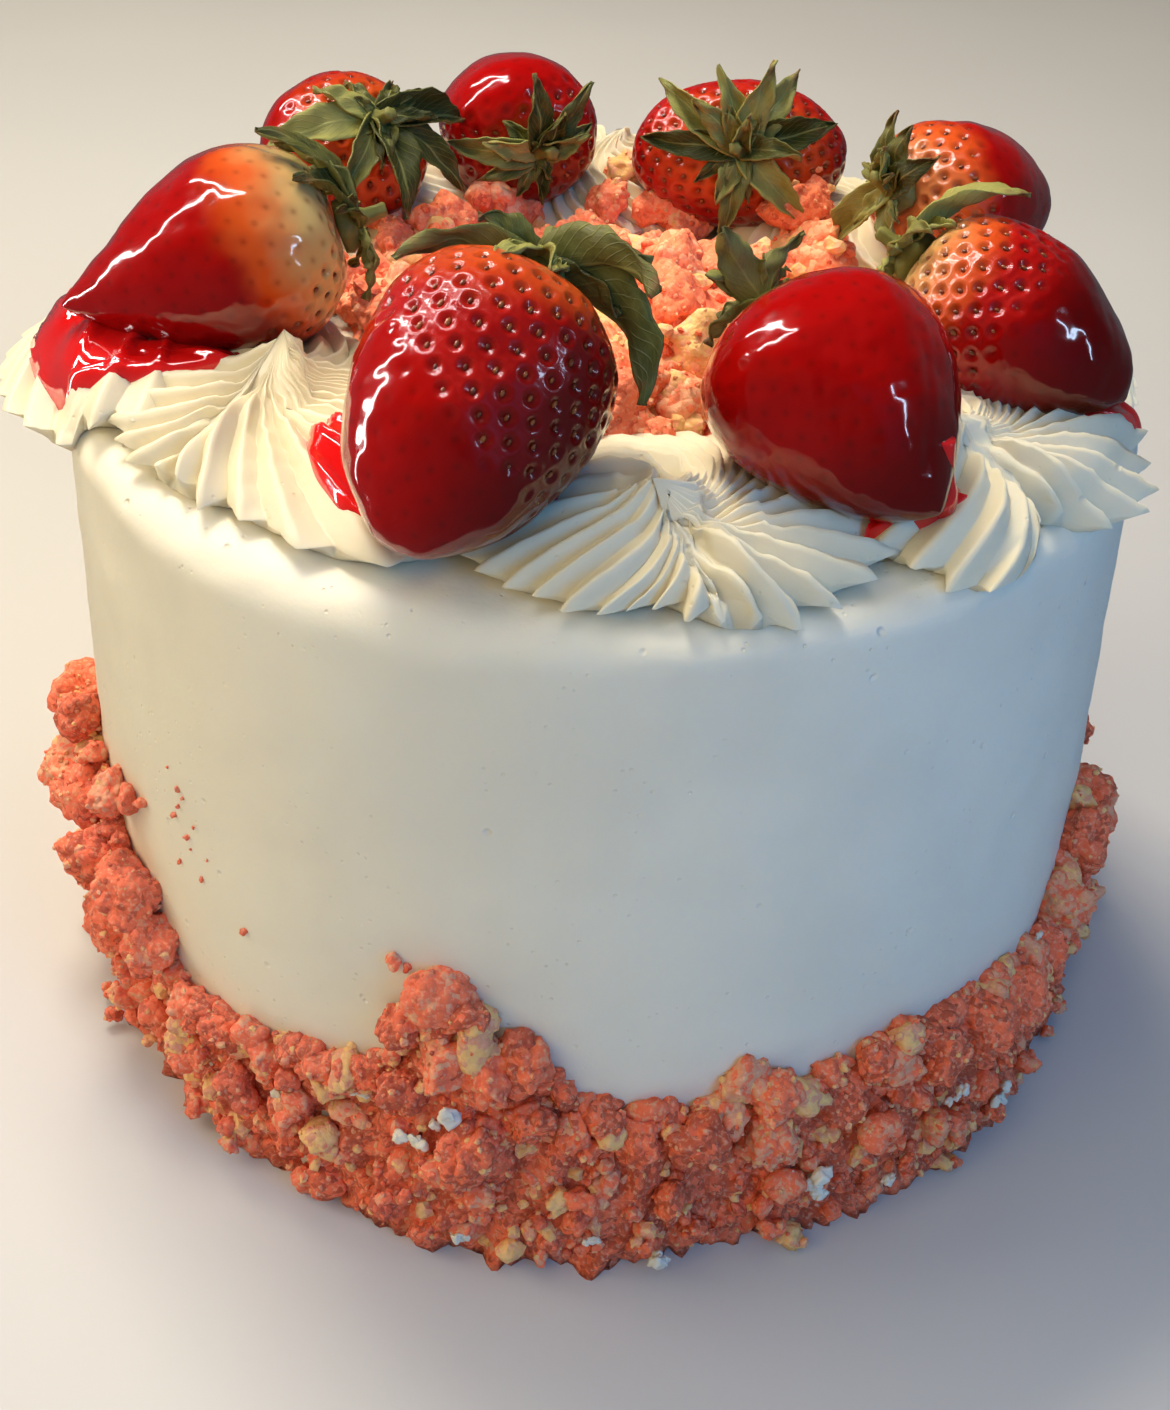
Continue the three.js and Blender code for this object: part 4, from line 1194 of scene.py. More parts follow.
def berry_seeds(sizes, berry, axes, seed, places, material, name):
    """The seeds that show: those that thick glaze doesn't cover, each lying in its pit."""
    share, turn, points = places
    step = 0.004
    along = berry_points(berry, axes, share + step, turn, seed) - points
    around = berry_points(berry, axes, share, turn + step, seed) - points
    normal = np.cross(along, around)
    normal /= np.linalg.norm(normal, axis=1)[:, None]
    middle = np.array(berry["at"]) * MM + np.array([0, 0, sizes.height])
    normal *= np.sign((normal * (points - middle)).sum(1))[:, None]
    along /= np.linalg.norm(along, axis=1)[:, None]
    glaze = berry_cover(berry, points, share, seed)[0]
    shown = np.flatnonzero((glaze < 0.5) & (share > 0.05))
    if not len(shown):
        return None
    sunk = 0.00042
    mesh = bpy.data.meshes.new(name + "_places")
    mesh.from_pydata((points - normal * sunk)[shown].tolist(), [], [])
    turns = mesh.attributes.new("turn", "FLOAT_VECTOR", "POINT")
    eulers = []
    for i in shown:
        x_axis, z_axis = Vector(along[i]), Vector(normal[i])
        y_axis = z_axis.cross(x_axis).normalized()
        basis = Matrix((x_axis, y_axis, x_axis.cross(y_axis))).transposed()
        eulers.extend(basis.to_euler())
    turns.data.foreach_set("vector", eulers)
    base = bpy.data.objects.new(name + "_places", mesh)
    bpy.context.scene.collection.objects.link(base)
    return made_by_tree(base, seed_tree("Set seeds"), name, {
        "Length": sizes.seed_length, "Width": 0.6 * sizes.seed_length,
        "Thickness": 0.5 * sizes.seed_length, "Seed": seed, "Material": material,
    })


class CAKE_OT_strawberries(bpy.types.Operator):
    """Lays the eight glazed strawberries with their seeds between the swirls"""

    bl_idname = "cake.strawberries"
    bl_label = "Strawberries"

    def execute(self, context):
        sizes, colours = context.scene.cake_sizes, context.scene.cake_colours
        skin = berry_material("Glazed strawberry", colours)
        seeds = seed_material("Strawberry seed", colours)
        for i, berry in enumerate(STRAWBERRIES, 1):
            axes = berry_axes(sizes, berry)
            *shape, places = berry_skin(sizes, berry, axes, 90 + 10 * i)
            make_piece(f"glazed_strawberry_{i}", shape, skin, "strawberry", f"strawberry_{i}")
            grown = berry_seeds(sizes, berry, axes, 90 + 10 * i, places, seeds, f"strawberry_seeds_{i}")
            if grown:
                finish_piece(grown, "strawberry")
        return {"FINISHED"}


# ---- Leaves --------------------------------------------------------------------------------------


def leaf_shape(sizes, leaf, seed):
    """One thin leaf in its berry's frame, with its values: along, across and pale."""
    turn, length, lift, pale, *width = leaf
    length *= MM
    rng = np.random.default_rng(seed)
    rows, columns = 22, 9
    along = np.linspace(0.0, 1.0, rows)[:, None]
    across = np.linspace(-1.0, 1.0, columns)[None]
    bend = math.radians(75 - 0.5 * lift)
    start = math.radians(lift)
    radius = length / bend
    angle = start - bend * along
    reach = radius * (math.sin(start) - np.sin(angle))
    rise = radius * (np.cos(angle) - math.cos(start)) + 0.0009
    outline = np.sin(np.pi * np.clip(0.10 + 0.90 * along, 0, 1) ** 0.78) ** 0.85
    # The edge is toothed towards the tip.
    teeth = 1 + 0.07 * np.sin(along * 34 + rng.uniform(0, 6)) * smoothstep(0.25, 0.5, along)
    usual_length = 0.022
    half = sizes.leaf_width * (length / usual_length) ** 0.9 / 2 * outline * teeth
    half = half * (width[0] if width else rng.uniform(0.8, 1.15))
    fold = rng.uniform(0.25, 0.75)
    twist = math.radians(rng.uniform(-38, 38)) * along**1.5
    sway = rng.uniform(-0.16, 0.16) * length * along**2
    curl = rng.uniform(-0.35, 0.5)
    sideways = across * half * np.cos(fold * np.abs(across))
    up = np.abs(across) ** 1.3 * half * math.sin(fold) * (1 + curl * along)
    ruffle = np.sin(9 * along + 3 * across + rng.uniform(0, 6)) + 0.6 * np.sin(
        17 * along - 4 * across + rng.uniform(0, 6))
    up = up + 0.0006 * ruffle * smoothstep(0.1, 0.6, along)
    side_turned = sideways * np.cos(twist) - up * np.sin(twist)
    up_turned = sideways * np.sin(twist) + up * np.cos(twist)
    x = reach - up_turned * np.sin(angle)
    z = rise + up_turned * np.cos(angle)
    y = side_turned + sway
    t = math.radians(turn)
    top = np.stack([x * math.cos(t) - y * math.sin(t), x * math.sin(t) + y * math.cos(t), z], -1)
    normal = np.cross(np.gradient(top, axis=0), np.gradient(top, axis=1))
    normal /= np.maximum(np.linalg.norm(normal, axis=-1), 1e-12)[..., None]
    thick = 0.00022 * (1 + 1.2 * np.exp(-((across / 0.12) ** 2))) * (1 - 0.6 * along)
    # The upper and the lower skin form one closed ring across each row.
    upper = top + normal * thick[..., None]
    lower = (top - normal * thick[..., None])[:, ::-1]
    rings = np.concatenate([upper, lower], axis=1)
    values_across = np.concatenate([across + 0 * along, (across + 0 * along)[:, ::-1]], axis=1)
    values_along = np.broadcast_to(along, values_across.shape)
    under_pale = min(1, pale + 0.35)
    paleness = np.repeat([[pale, under_pale]], rows, axis=0).repeat(columns, axis=1)
    first, last = rings[0].mean(0), rings[-1].mean(0)
    vertices, faces = closed_rings(rings, first, last)
    values = {
        "along": np.append(values_along.ravel(), [0, 1]),
        "across": np.append(values_across.ravel(), [0, 0]),
        "pale": np.append(paleness.ravel(), [pale, pale]),
    }
    return vertices, faces, values


def stem_shape(seed):
    """The cap under the leaves and the stub of the stem, as one round body."""
    rng = np.random.default_rng(seed)
    columns = 20
    profile = ((0.0044, -0.0012), (0.0047, 0.0002), (0.0038, 0.0016), (0.0022, 0.0024),
               (0.0014, 0.0040), (0.0012, 0.0062), (0.0013, 0.0072), (0.0009, 0.0077))
    turn = np.arange(columns) * 2 * np.pi / columns
    lean = rng.uniform(-0.35, 0.35, 2)
    rings = []
    for r, z in profile:
        r = r * (1 + 0.10 * np.sin(5 * turn + seed))
        up = max(0.0, z)
        rings.append(np.stack([r * np.cos(turn) + lean[0] * up, r * np.sin(turn) + lean[1] * up,
                               np.full(columns, z)], -1))
    rings = np.array(rings)
    vertices, faces = closed_rings(rings, (0, 0, -0.0016), rings[-1].mean(0))
    return vertices, faces, {"along": 0.3, "across": 0.6, "pale": 0.55}


class CAKE_OT_leaves(bpy.types.Operator):
    """Makes the leaves and the stub of the stem on each strawberry"""

    bl_idname = "cake.leaves"
    bl_label = "Leaves"

    def execute(self, context):
        sizes, colours = context.scene.cake_sizes, context.scene.cake_colours
        material = leaf_material("Strawberry leaf", colours)
        for i, berry in enumerate(STRAWBERRIES):
            axes = berry_axes(sizes, berry)
            shapes = [stem_shape(300 + i)]
            rng = np.random.default_rng(350 + i)
            for k, leaf in enumerate(berry["leaves"]):
                shapes.append(leaf_shape(sizes, leaf, seed=400 + 20 * i + k))
                # A smaller leaf grows beside each.
                turn, length, lift, pale = leaf[:4]
                beside = (turn + rng.choice((-1, 1)) * rng.uniform(14, 30), length * rng.uniform(0.5, 0.75),
                          lift + rng.uniform(5, 28), float(np.clip(pale + rng.uniform(-0.2, 0.3), 0, 1)))
                shapes.append(leaf_shape(sizes, beside, seed=900 + 20 * i + k))
            vertices, faces, values = joined(shapes)
            shape = (vertices @ axes[:3, :3].T + axes[:3, 3], faces, values)
            make_piece(f"strawberry_leaves_{i + 1}", shape, material, "leaf", f"leaves_{i + 1}")
        return {"FINISHED"}


# ---- Glaze that ran onto the piping --------------------------------------------------------------


def pool_shape(row, height_at, seed):
    """A pool of glaze that lies on the piping and fills its valleys, with its depth."""
    middle, long, wide, turn, thick = row
    rows, columns = 16, 64
    angle = np.arange(columns) * 2 * np.pi / columns
    spread = np.stack([np.cos(angle), np.sin(angle), 0 * angle], -1) * 0.02
    uneven = 1 + 0.16 * waves(spread, 0.03, seed, 2)
    t = math.radians(turn)
    share = np.linspace(0.06, 1.0, rows)[:, None] ** 0.8
    x = share * uneven * long * MM * np.cos(angle)
    y = share * uneven * wide * MM * np.sin(angle)
    px = middle[0] * MM + x * math.cos(t) - y * math.sin(t)
    py = middle[1] * MM + x * math.sin(t) + y * math.cos(t)

    def ground_at(dx, dy):
        no_ground = 0.12
        spots = zip((px + dx).ravel(), (py + dy).ravel())
        return np.array([height_at(a, b) or no_ground for a, b in spots]).reshape(px.shape)

    ground = ground_at(0, 0)
    # The glaze levels itself: it stands as high as the crests nearby and fills what lies between.
    near = 0.0022
    beside = [ground_at(near * math.cos(k), near * math.sin(k)) for k in range(6)]
    level = np.maximum.reduce([ground, *beside])
    for _ in range(12):
        level = (level + np.roll(level, 1, axis=1) + np.roll(level, -1, axis=1)) / 3
        level[1:-1] = (level[:-2] + level[1:-1] + level[2:]) / 3
    body = np.clip(1 - share**3.0, 0, 1) ** 0.5
    full = np.maximum(level - 0.0006, ground + 0.0003) + 0.35 * thick * MM * body
    brim = smoothstep(0.0, 0.75, body)
    upper = ground + 0.0001 + np.maximum(full - ground, 0.0002) * brim
    top = np.stack([px, py, upper], -1)
    under = np.stack([px[-1:], py[-1:], ground[-1:] - 0.0014], -1)
    rings = np.concatenate([top, under])
    vertices, faces = closed_rings(rings, top[0].mean(0), under[0].mean(0))
    depth = np.concatenate([np.broadcast_to(body, px.shape), np.zeros((1, columns))]).ravel()
    return vertices, faces, {"depth": np.append(depth, [1.0, 0.0])}


def drip_shape(top, foot, radius):
    """A drop of glaze that hangs from a berry's end down to the piping, with its depth."""
    columns = 24
    turn = np.arange(columns) * 2 * np.pi / columns
    rings = []
    for share in np.linspace(0.02, 1.0, 30):
        girth = radius * (0.62 + 0.38 * smoothstep(0.35, 0.75, share)) * math.sqrt(1 - share**7 * 0.985)
        middle = np.array(top) * (1 - share) + np.array(foot) * share
        rings.append(middle * MM + girth * MM * np.stack([np.cos(turn), np.sin(turn), 0 * turn], -1))
    vertices, faces = closed_rings(np.array(rings), rings[0].mean(0), rings[-1].mean(0))
    return vertices, faces, {"depth": np.full(len(vertices), 0.6)}


class CAKE_OT_glaze(bpy.types.Operator):
    """Lets red glaze run from the strawberries onto the piping"""

    bl_idname = "cake.glaze"
    bl_label = "Glaze Pools"

    def execute(self, context):
        material = glaze_material("Red glaze", context.scene.cake_colours)
        ground = [o for o in context.scene.objects
                  if o.name.startswith("piped_swirl_") or o.name == "frosted_round"]
        height_at = height_finder(ground)
        for i, (name, *row) in enumerate(POOLS):
            make_piece(name, pool_shape(row, height_at, seed=600 + i), material, "strawberry")
        for name, *row in DRIPS:
            make_piece(name, drip_shape(*row), material, "strawberry")
        return {"FINISHED"}


# ---- Crumbs --------------------------------------------------------------------------------------


def lump(seed, detail, grains, cuts=4):
    """A crumb about 1 across: vertices and triangles. It is a cluster of grains stuck together."""
    shape = bmesh.new()
    bmesh.ops.create_icosphere(shape, subdivisions=detail, radius=0.5)
    vertices = np.array([v.co[:] for v in shape.verts])
    triangles = np.array([[v.index for v in face.verts] for face in shape.faces])
    shape.free()
    rng = np.random.default_rng(seed)
    out = vertices / np.linalg.norm(vertices, axis=1)[:, None]
    # A few broken faces and lumps first.
    size = np.ones(len(vertices))
    for _ in range(cuts):
        direction = rng.normal(size=3)
        direction /= np.linalg.norm(direction)
        size = np.minimum(size, rng.uniform(0.60, 0.90) / np.maximum(out @ direction, 1e-3))
    size = np.clip(size, 0.4, 1.0)
    size *= 1 + 0.04 * cuts * waves(out, 1.2, seed + 1, 2)
    # Then the grains: each is a round cap on the lump.
    if grains:
        centres = rng.normal(size=(grains, 3))
        centres /= np.linalg.norm(centres, axis=1)[:, None]
        radius = 2.5 / math.sqrt(grains) * rng.uniform(0.7, 1.3, grains)
        apart = np.linalg.norm(out[:, None] - centres[None], axis=-1) / radius
        caps = np.sqrt(np.clip(1 - apart**2, 0, 1)) * radius
        size *= 0.88 + 0.62 * caps.max(1)
    vertices = vertices * size[:, None] * rng.uniform(0.8, 1.15, 3)
    return vertices, triangles


def crumb_shapes(name, seed, detail, grains=0):
    """Three crumb shapes for the scatter tree, kept out of the scene."""
    shapes = []
    for k in range(3):
        vertices, triangles = lump(seed + k, detail, grains)
        shape = add_mesh(f"{name}_{k}", vertices, [triangles], smooth=detail > 2)
        bpy.context.scene.collection.objects.unlink(shape)
        shapes.append(shape)
    return shapes


def on_floor(piece):
    """Flattens what would reach below the floor."""
    mesh = piece.data
    places = np.empty(3 * len(mesh.vertices), np.float32)
    mesh.vertices.foreach_get("co", places)
    places[2::3] = np.maximum(places[2::3], 0.0)
    mesh.vertices.foreach_set("co", places)
    mesh.update()
    return piece


def scattered(
    name, surface, shapes, count, smallest, largest, golden, seed, material, golden_tone=GOLDEN_TONE
):
    """A finished piece of about count crumbs strewn over a surface of vertices, faces and values."""
    vertices, faces, values = surface
    base = add_mesh(name + "_places", vertices, faces, values=values)
    cover = values["cover"]
    area = 0.0
    for face in faces:
        for k in range(2, face.shape[1]):
            a, b, c = (vertices[face[:, j]] for j in (0, k - 1, k))
            triangle = np.linalg.norm(np.cross(b - a, c - a), axis=1) / 2
            area += float((triangle * cover[face].mean(1)).sum())
    piece = made_by_tree(base, scatter_tree("Scatter crumbs"), name, {
        "Shape A": shapes[0], "Shape B": shapes[1], "Shape C": shapes[2], "Density": count / area,
        "Smallest": smallest, "Largest": largest, "Golden": golden, "Seed": seed, "Material": material,
        "Golden tone": golden_tone,
    })
    return finish_piece(on_floor(piece), "crumb")


def placed_lumps(rows, seed, detail, grains, cover=1.0, cuts=4):
    """Large crumbs set one by one: rows of a place, a size across and a tone."""
    rng = np.random.default_rng(seed)
    kinds = [lump(seed + k, detail, grains, cuts) for k in range(12)]
    parts = []
    for place, size, tone in rows:
        vertices, triangles = kinds[rng.integers(len(kinds))]
        turn = Matrix.Rotation(rng.uniform(0, 2 * math.pi), 3, Vector(rng.normal(size=3)).normalized())
        vertices = vertices * rng.uniform(0.8, 1.2, 3)
        vertices = vertices @ np.array(turn).T * size + np.array(place)
        vertices[:, 2] = np.maximum(vertices[:, 2], 0.0)
        parts.append((vertices, [triangles], {"tone": tone, "cover": cover}))
    return joined(parts)


def skirt_top(sizes, azimuth):
    top = sizes.skirt_height + 0.0015 * wobble(azimuth, 2, 9)
    for middle, rise, spread in SKIRT_WAVES:
        top = top + rise * MM * bell(azimuth, middle, spread)
    return top


def skirt_reach(sizes, azimuth):
    """How far the skirt stands out at the foot: less where fewer crumbs stick."""
    thin = 0.0035 * bell(azimuth, -138, 17)
    return sizes.skirt_thickness * (1 + 0.2 * wobble(azimuth, 5, 8)) - thin


def skirt_front(sizes, azimuth, share, thinning=0.45, start=0.45):
    """How far the skirt stands out at a share of its height, from where it starts to thin out."""
    return float(skirt_reach(sizes, azimuth)) * (1 - thinning * float(smoothstep(start, 1.0, share)))


def skirt_core(sizes):
    """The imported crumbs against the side, as one closed band with a granular surface."""
    columns, rows = 620, 26
    azimuth = np.arange(columns) * 360 / columns
    top = skirt_top(sizes, azimuth) - 0.004
    reach = skirt_reach(sizes, azimuth) - 0.0045
    level = np.linspace(0.0, 1.0, rows)
    rings = []
    for share in level:
        z = share * top
        body = reach * (1 - 0.55 * smoothstep(0.45, 1.0, share))
        rings.append(polar(azimuth, side_radius(sizes, z) + body, z))
    rings = np.array(rings)
    grains = 0.0016 * waves(rings, 0.010, 41, 2) + 0.0010 * waves(rings, 0.0034, 42, 2)
    lifted = smoothstep(0.0, 0.0015, rings[..., 2])
    out = rings / np.linalg.norm(rings[..., :2], axis=-1)[..., None]
    out[..., 2] = 0
    rings = rings + out * grains[..., None] + np.array([0, 0, 1.0]) * (0.4 * grains * lifted)[..., None]
    rings[..., 2] = np.maximum(rings[..., 2], 0.0)
    inner_top = polar(azimuth, side_radius(sizes, top) - 0.002, top - 0.001)
    inner_foot = polar(azimuth, side_radius(sizes, 0 * top) - 0.002, 0 * top)
    rings = np.concatenate([rings, [inner_top], [inner_foot]])
    count = len(rings)
    row = (np.arange(count) * columns)[:, None]
    below = (((np.arange(count) + 1) % count) * columns)[:, None]
    here = np.arange(columns)[None]
    after = (here + 1) % columns
    quads = np.stack([row + here, row + after, below + after, below + here], -1).reshape(-1, 4)
    coarse = np.broadcast_to(np.append(smoothstep(0.0, 0.12, level), [0, 0])[:, None], (count, columns))
    # The core shows in the gaps between the crumbs, and its tone is kept dark there as painted shade.
    tone = 0.14 + 0.24 * waves(rings, 0.012, 43)
    return rings.reshape(-1, 3), [quads], {"cover": coarse.ravel(), "tone": tone.ravel()}


def skirt_lump_rows(sizes):
    """Places, sizes and tones of the skirt's large crumbs: the named ones, then its ragged edge."""
    rng = np.random.default_rng(71)
    rows = []
    for azimuth, height, size in SKIRT_LUMPS:
        size, z = size * MM, height * MM
        share = z / float(skirt_top(sizes, azimuth))
        reach = skirt_front(sizes, azimuth, share, 0.5, 0.4)
        place = polar(azimuth, side_radius(sizes, z) + max(0.28 * size, reach - 0.30 * size), z)
        rows.append((place, size, rng.choice((0.05, 0.2, 0.35, 0.45, 0.62))))
    return rows


def skirt_edge_rows(sizes):
    """Middle-sized crumbs along the ragged upper edge and strewn below it."""
    rng = np.random.default_rng(72)
    rows = []
    azimuth = -180.0
    while azimuth < 180:
        size = rng.uniform(0.0035, 0.0075)
        top = float(skirt_top(sizes, azimuth))
        z = top - rng.uniform(0.0, 0.006)
        place = polar(azimuth, side_radius(sizes, z) + rng.uniform(0.05, 0.45) * size, z)
        tone = GOLDEN_TONE if rng.random() < 0.10 else rng.uniform(0.1, 0.62)
        rows.append((place, size, tone))
        azimuth += rng.uniform(0.8, 2.2)
    while len(rows) < SKIRT_CRUMBS:
        azimuth = rng.uniform(-180, 180)
        share = rng.uniform(0.05, 0.95)
        size = rng.uniform(0.003, 0.0085) * (0.65 + 0.5 * share)
        z = max(share * float(skirt_top(sizes, azimuth)), 0.45 * size)
        reach = skirt_front(sizes, azimuth, share)
        place = polar(azimuth, side_radius(sizes, z) + reach - rng.uniform(0.15, 0.7) * size, z)
        tone = GOLDEN_TONE if rng.random() < 0.2 else rng.uniform(0.05, 0.76)
        rows.append((place, size, tone))
    return rows


class CAKE_OT_crumb_skirt(bpy.types.Operator):
    """Presses the crumbs round the foot of the cake"""

    bl_idname = "cake.crumb_skirt"
    bl_label = "Crumb Skirt"

    def execute(self, context):
        sizes, colours = context.scene.cake_sizes, context.scene.cake_colours
        material = crumb_material("Crumb", colours)
        core = skirt_core(sizes)
        rows = skirt_lump_rows(sizes)
        # The lumps that stand out at the front and the sides are the most finely made.
        fine = placed_lumps(rows[:SHOWN_LUMPS], 800, 5, 170)
        plain = placed_lumps(rows[SHOWN_LUMPS:], 830, 4, 100)
        lumps = joined([fine, plain])
        crumbs = placed_lumps(skirt_edge_rows(sizes), 1200, 3, 22)
        surface = joined([core, lumps, crumbs])
        # Each row of crumbs: their number, their smallest and largest size, how many are golden, the seed.
        small = crumb_shapes("small_crumb", 900, 2, 8)
        scattered("skirt_bits", core, small, 1600, 0.0015, 0.0042, 0.24, 5, material)
        grain = crumb_shapes("grain", 950, 1)
        scattered("skirt_grains", surface, grain, 6200, 0.0006, 0.0015, 0.6, 6, material, 0.70)
        scattered("skirt_golden_grains", surface, grain, 3400, 0.0009, 0.0024, 0.75, 10, material, 0.78)
        make_piece("skirt_lumps", lumps, material, "crumb")
        make_piece("skirt_crumbs", crumbs, material, "crumb")
        make_piece("skirt_core", core, material, "crumb", "crumb_skirt")
        return {"FINISHED"}


def heap_surface(sizes, x, y):
    """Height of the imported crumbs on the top."""
    radius = np.hypot(x, y)
    share = np.clip(radius / sizes.heap_radius, 0, 1)
    return sizes.height + (sizes.heap_height - 0.003) * (1 - share**3)


def heap_core(sizes):
    """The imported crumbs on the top, as one closed low mound with a granular surface."""
    columns, rows, sunk = 220, 44, 0.0006
    azimuth = np.arange(columns) * 360 / columns
    edge = sizes.heap_radius * (1 + 0.04 * wobble(azimuth, 4, 4))
    rings = []
    for share in np.linspace(0.03, 1.0, rows):
        flat = polar(azimuth, edge * share, 0 * azimuth)
        flat[:, 2] = heap_surface(sizes, flat[:, 0], flat[:, 1])
        rings.append(flat)
    rings = np.array(rings)
    rings[..., 2] += 0.0011 * waves(rings, 0.010, 51, 2) + 0.0006 * waves(rings, 0.0035, 52, 2)
    rings = np.concatenate([rings, [polar(azimuth, edge, sizes.height - sunk + 0 * azimuth)]])
    top = (0, 0, float(rings[0, :, 2].mean()))
    vertices, faces = closed_rings(rings, top, (0, 0, sizes.height - sunk))
    cover = np.append(np.repeat(np.append(np.ones(rows), 0), columns), [1, 0])
    return vertices, faces, {"cover": cover, "tone": 0.36 + 0.2 * waves(vertices, 0.014, 53)}


def heap_lump_rows(sizes, height_at):
    """Places, sizes and tones of the heap's large crumbs, which lie on its core and on the piping."""
    rng = np.random.default_rng(73)
    rows = []
    while len(rows) < HEAP_LUMPS:
        radius = HEAP_SPREAD * math.sqrt(rng.random())
        azimuth = rng.uniform(-180, 180)
        size = rng.choice((0.007, 0.009, 0.012, 0.015)) * rng.uniform(0.85, 1.15)
        place = polar(azimuth, radius, 0.0)
        packed = float(heap_surface(sizes, place[0], place[1]))
        piped = height_at(place[0], place[1]) or 0.0
        # Only at the back do the crumbs lie on the inner side of the piping too, and never high up on it.
        at_back, too_high = 5 < azimuth % 360 < 170, piped > packed + 0.010
        if too_high or (radius > sizes.heap_radius * 0.97 and not at_back):
            continue
        place[2] = max(packed, piped) + rng.uniform(0.05, 0.32) * size
        tone = GOLDEN_TONE if rng.random() < 0.2 else rng.uniform(0.25, 0.62)
        rows.append((place, size, tone))
    return rows


class CAKE_OT_crumb_heap(bpy.types.Operator):
    """Heaps the crumbs in the middle of the top"""

    bl_idname = "cake.crumb_heap"
    bl_label = "Crumb Heap"

    def execute(self, context):
        sizes, colours = context.scene.cake_sizes, context.scene.cake_colours
        # The crumbs on the top are painted brighter than the same crumbs in the skirt, as painted light.
        material = crumb_material("Top crumb painted lighter", colours, 1.4, 0.45)
        core = heap_core(sizes)
        height_at = height_finder(o for o in context.scene.objects if o.name.startswith("piped_swirl_"))
        lumps = placed_lumps(heap_lump_rows(sizes, height_at), 2400, 4, 80)
        make_piece("heap_lumps", lumps, material, "crumb")
        surface = joined([core, lumps])
        small = crumb_shapes("heap_small_crumb", 970, 2, 8)
        scattered("heap_bits", surface, small, 380, 0.0018, 0.0042, 0.22, 8, material)
        grain = crumb_shapes("heap_grain", 990, 1)
        scattered("heap_grains", surface, grain, 3200, 0.0006, 0.0017, 0.4, 9, material, 0.72)
        make_piece("heap_core", core, material, "crumb", "crumb_heap")
        return {"FINISHED"}


def fleck_shapes(sizes):
    """The flecks of frosting in the skirt. Each is a few flattened dabs that run into each other."""
    dabs, flattening, sunk = 4, 0.35, 0.0016
    rng = np.random.default_rng(74)
    shapes = []
    for i, (azimuth, height, length, turn) in enumerate(FLECKS):
        t, a, z, length = math.radians(turn), math.radians(azimuth), height * MM, length * MM
        out, beside = np.array([math.cos(a), math.sin(a), 0]), np.array([-math.sin(a), math.cos(a), 0])
        line = beside * math.cos(t) + np.array([0, 0, math.sin(t)])
        reach = skirt_front(sizes, azimuth, z / float(skirt_top(sizes, azimuth)))
        middle = polar(azimuth, side_radius(sizes, z) + reach - sunk, z)
        for k in range(dabs):
            vertices, triangles = lump(1500 + 5 * i + k, 3, 10, 7)
            vertices = vertices * (length * rng.uniform(0.24, 0.52))
            offset = line * rng.uniform(-0.4, 0.4) * length + rng.uniform(-0.12, 0.12, 3) * length
            vertices = vertices + np.outer(-flattening * (vertices @ out), out) + middle + offset
            vertices[:, 2] = np.maximum(vertices[:, 2], 0.0)
            shapes.append((vertices, [triangles], {}))
    return joined(shapes)


def side_crumb_shapes(sizes):
    """The loose crumbs on the side. The first is a round ball that stands clear of the rest."""
    rows, tone = [], 0.42
    for azimuth, height, size in SIDE_CRUMBS:
        z, size = height * MM, size * MM
        rows.append((polar(azimuth, side_radius(sizes, z) + 0.25 * size, z), size, tone))
    ball = placed_lumps(rows[:1], 1690, 5, 170, cuts=0)
    return joined([ball, placed_lumps(rows[1:], 1700, 3, 30)])


class CAKE_OT_loose_bits(bpy.types.Operator):
    """Adds the flecks of frosting in the skirt and the loose crumbs on the side"""

    bl_idname = "cake.loose_bits"
    bl_label = "Flecks and Loose Crumbs"

    def execute(self, context):
        sizes, colours = context.scene.cake_sizes, context.scene.cake_colours
        frosting = smooth_frosting(colours)
        make_piece("frosting_flecks", fleck_shapes(sizes), frosting, "frosting")
        make_piece("side_crumbs", side_crumb_shapes(sizes), crumb_material("Crumb", colours), "crumb")
        return {"FINISHED"}


# ---- Stage ---------------------------------------------------------------------------------------


def add_floor(scene):
    """A plain pale floor, which the glaze doesn't mirror, so that it keeps its depth."""
    material, nodes, shader = new_material("Studio floor", {"Roughness": 0.7})
    pale, paler, half = (0.50, 0.50, 0.51), (0.53, 0.53, 0.54), 3.0
    cloudy = nodes.band(nodes.noise(nodes.place(), 3.0), 0.3, 0.7)
    nodes.feed(shader["Base Color"], nodes.blend(cloudy, pale, paler))
    floor = bpy.data.meshes.new("studio_floor")
    corners = [(-half, -half, 0), (half, -half, 0), (half, half, 0), (-half, half, 0)]
    floor.from_pydata(corners, [], [(0, 1, 2, 3)])
    floor.materials.append(material)
    ground = bpy.data.objects.new("studio_floor", floor)
    scene.collection.objects.link(ground)
    ground.visible_glossy = False


def add_light(scene, name, azimuth, elevation, distance, size, watts, purpose):
    """An area light aimed at the cake from a direction in degrees."""
    light = bpy.data.lights.new(name, "AREA")
    light.shape = "RECTANGLE"
    light.size, light.size_y = size
    light.energy = max(watts)
    light.color = [channel / max(watts) for channel in watts]
    lamp = bpy.data.objects.new(name, light)
    rise, middle_height = math.radians(elevation), 0.1
    height = middle_height + distance * math.sin(rise)
    lamp.location = Vector(polar(azimuth, distance * math.cos(rise), height))
    target = Vector((0, 0, middle_height))
    lamp.rotation_euler = (target - lamp.location).to_track_quat("-Z", "Y").to_euler()
    lamp.visible_glossy = purpose == "glossy"
    lamp.visible_diffuse = purpose == "diffuse"
    scene.collection.objects.link(lamp)


def add_top_spot(scene):
    """A soft round spot straight from above, which reaches the crumbs between the strawberries."""
    light = bpy.data.lights.new("Top spot", "SPOT")
    light.energy, light.color = 22.0, (1.0, 0.90, 0.74)
    light.spot_size, light.spot_blend = math.radians(10.0), 1.0
    light.shadow_soft_size = 0.05
    spot = bpy.data.objects.new("Top spot", light)
    spot.location = (0.0, 0.0, 1.1)
    spot.visible_glossy = False
    scene.collection.objects.link(spot)


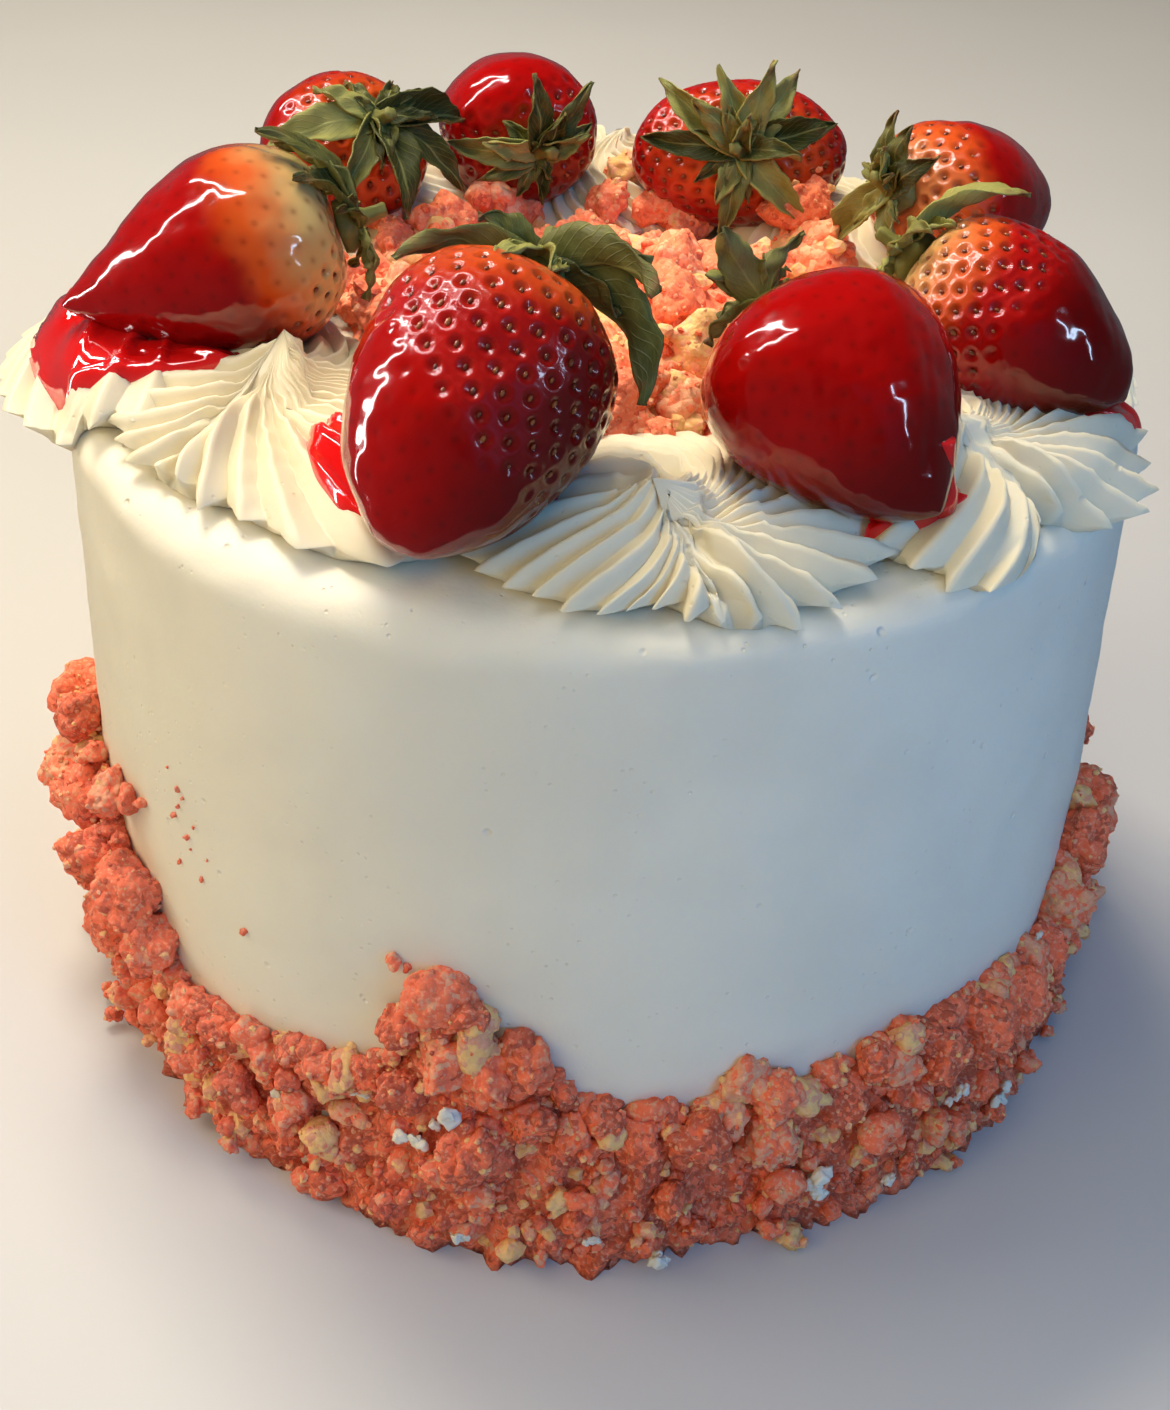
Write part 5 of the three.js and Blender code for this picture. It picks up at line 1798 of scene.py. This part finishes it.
def add_world(scene):
    """A studio that is dim overhead and brighter round the horizon."""
    world = bpy.data.worlds.new("Studio")
    world.use_nodes = True
    horizon, overhead = (0.09, 0.095, 0.105), (0.025, 0.028, 0.032)
    sky = Nodes(world.node_tree)
    direction = sky.add("ShaderNodeSeparateXYZ", {
        "Vector": sky.add("ShaderNodeTexCoord").outputs["Generated"],
    })
    rise = sky.band(direction.outputs["Z"], 0.0, 0.6)
    background = world.node_tree.nodes["Background"]
    sky.feed(background.inputs["Color"], sky.blend(rise, horizon, overhead))
    background.inputs["Strength"].default_value = 1.0
    scene.world = world


def add_camera(scene):
    """The camera, at the fitted place, angle and lens."""
    place, pitch, yaw, roll = (0.0, -0.2984, 0.2741), 37.545, -0.233, 2.263
    pitch, yaw, roll = math.radians(pitch), math.radians(yaw), math.radians(roll)
    camera = bpy.data.cameras.new("Camera")
    camera.sensor_width = 36.0
    camera.lens = 43.5
    camera.dof.use_dof = False
    viewer = bpy.data.objects.new("Camera", camera)
    forward = Vector((math.sin(yaw) * math.cos(pitch), math.cos(yaw) * math.cos(pitch), -math.sin(pitch)))
    level = Vector((math.cos(yaw), -math.sin(yaw), 0))
    right = level * math.cos(roll) + level.cross(forward) * math.sin(roll)
    turn = Matrix((right, right.cross(forward), -forward)).transposed().to_4x4()
    viewer.matrix_world = Matrix.Translation(place) @ turn
    scene.collection.objects.link(viewer)
    scene.camera = viewer


class CAKE_OT_stage(bpy.types.Operator):
    """Sets the floor, the studio light and the camera"""

    bl_idname = "cake.stage"
    bl_label = "Stage"

    def execute(self, context):
        scene = context.scene
        add_floor(scene)
        for row in LIGHTS:
            add_light(scene, *row)
        add_top_spot(scene)
        add_world(scene)
        scene.view_settings.view_transform = "Standard"
        add_camera(scene)
        return {"FINISHED"}


# ---- Panel and registration ----------------------------------------------------------------------

STEPS = (
    CAKE_OT_stage,
    CAKE_OT_frosted_round,
    CAKE_OT_swirls,
    CAKE_OT_strawberries,
    CAKE_OT_leaves,
    CAKE_OT_glaze,
    CAKE_OT_crumb_skirt,
    CAKE_OT_crumb_heap,
    CAKE_OT_loose_bits,
)


class CAKE_PT_panel(bpy.types.Panel):
    """Lists the cake's pieces, with their sizes and colours"""

    bl_idname = "CAKE_PT_panel"
    bl_label = "Layer Cake"
    bl_space_type = "VIEW_3D"
    bl_region_type = "UI"
    bl_category = "Cake"

    def draw(self, context):
        for settings in (context.scene.cake_sizes, context.scene.cake_colours):
            box = self.layout.box()
            for key in settings.__annotations__:
                box.prop(settings, key)
        for step in STEPS:
            self.layout.operator(step.bl_idname)


CLASSES = (CakeSizes, CakeColours, *STEPS, CAKE_PT_panel)


def register():
    for cls in CLASSES:
        bpy.utils.register_class(cls)
    bpy.types.Scene.cake_sizes = bpy.props.PointerProperty(type=CakeSizes)
    bpy.types.Scene.cake_colours = bpy.props.PointerProperty(type=CakeColours)


def unregister():
    del bpy.types.Scene.cake_colours
    del bpy.types.Scene.cake_sizes
    for cls in reversed(CLASSES):
        bpy.utils.unregister_class(cls)


def main():
    register()
    for step in STEPS:
        group, name = step.bl_idname.split(".")
        getattr(getattr(bpy.ops, group), name)()


if __name__ == "__main__":
    main()
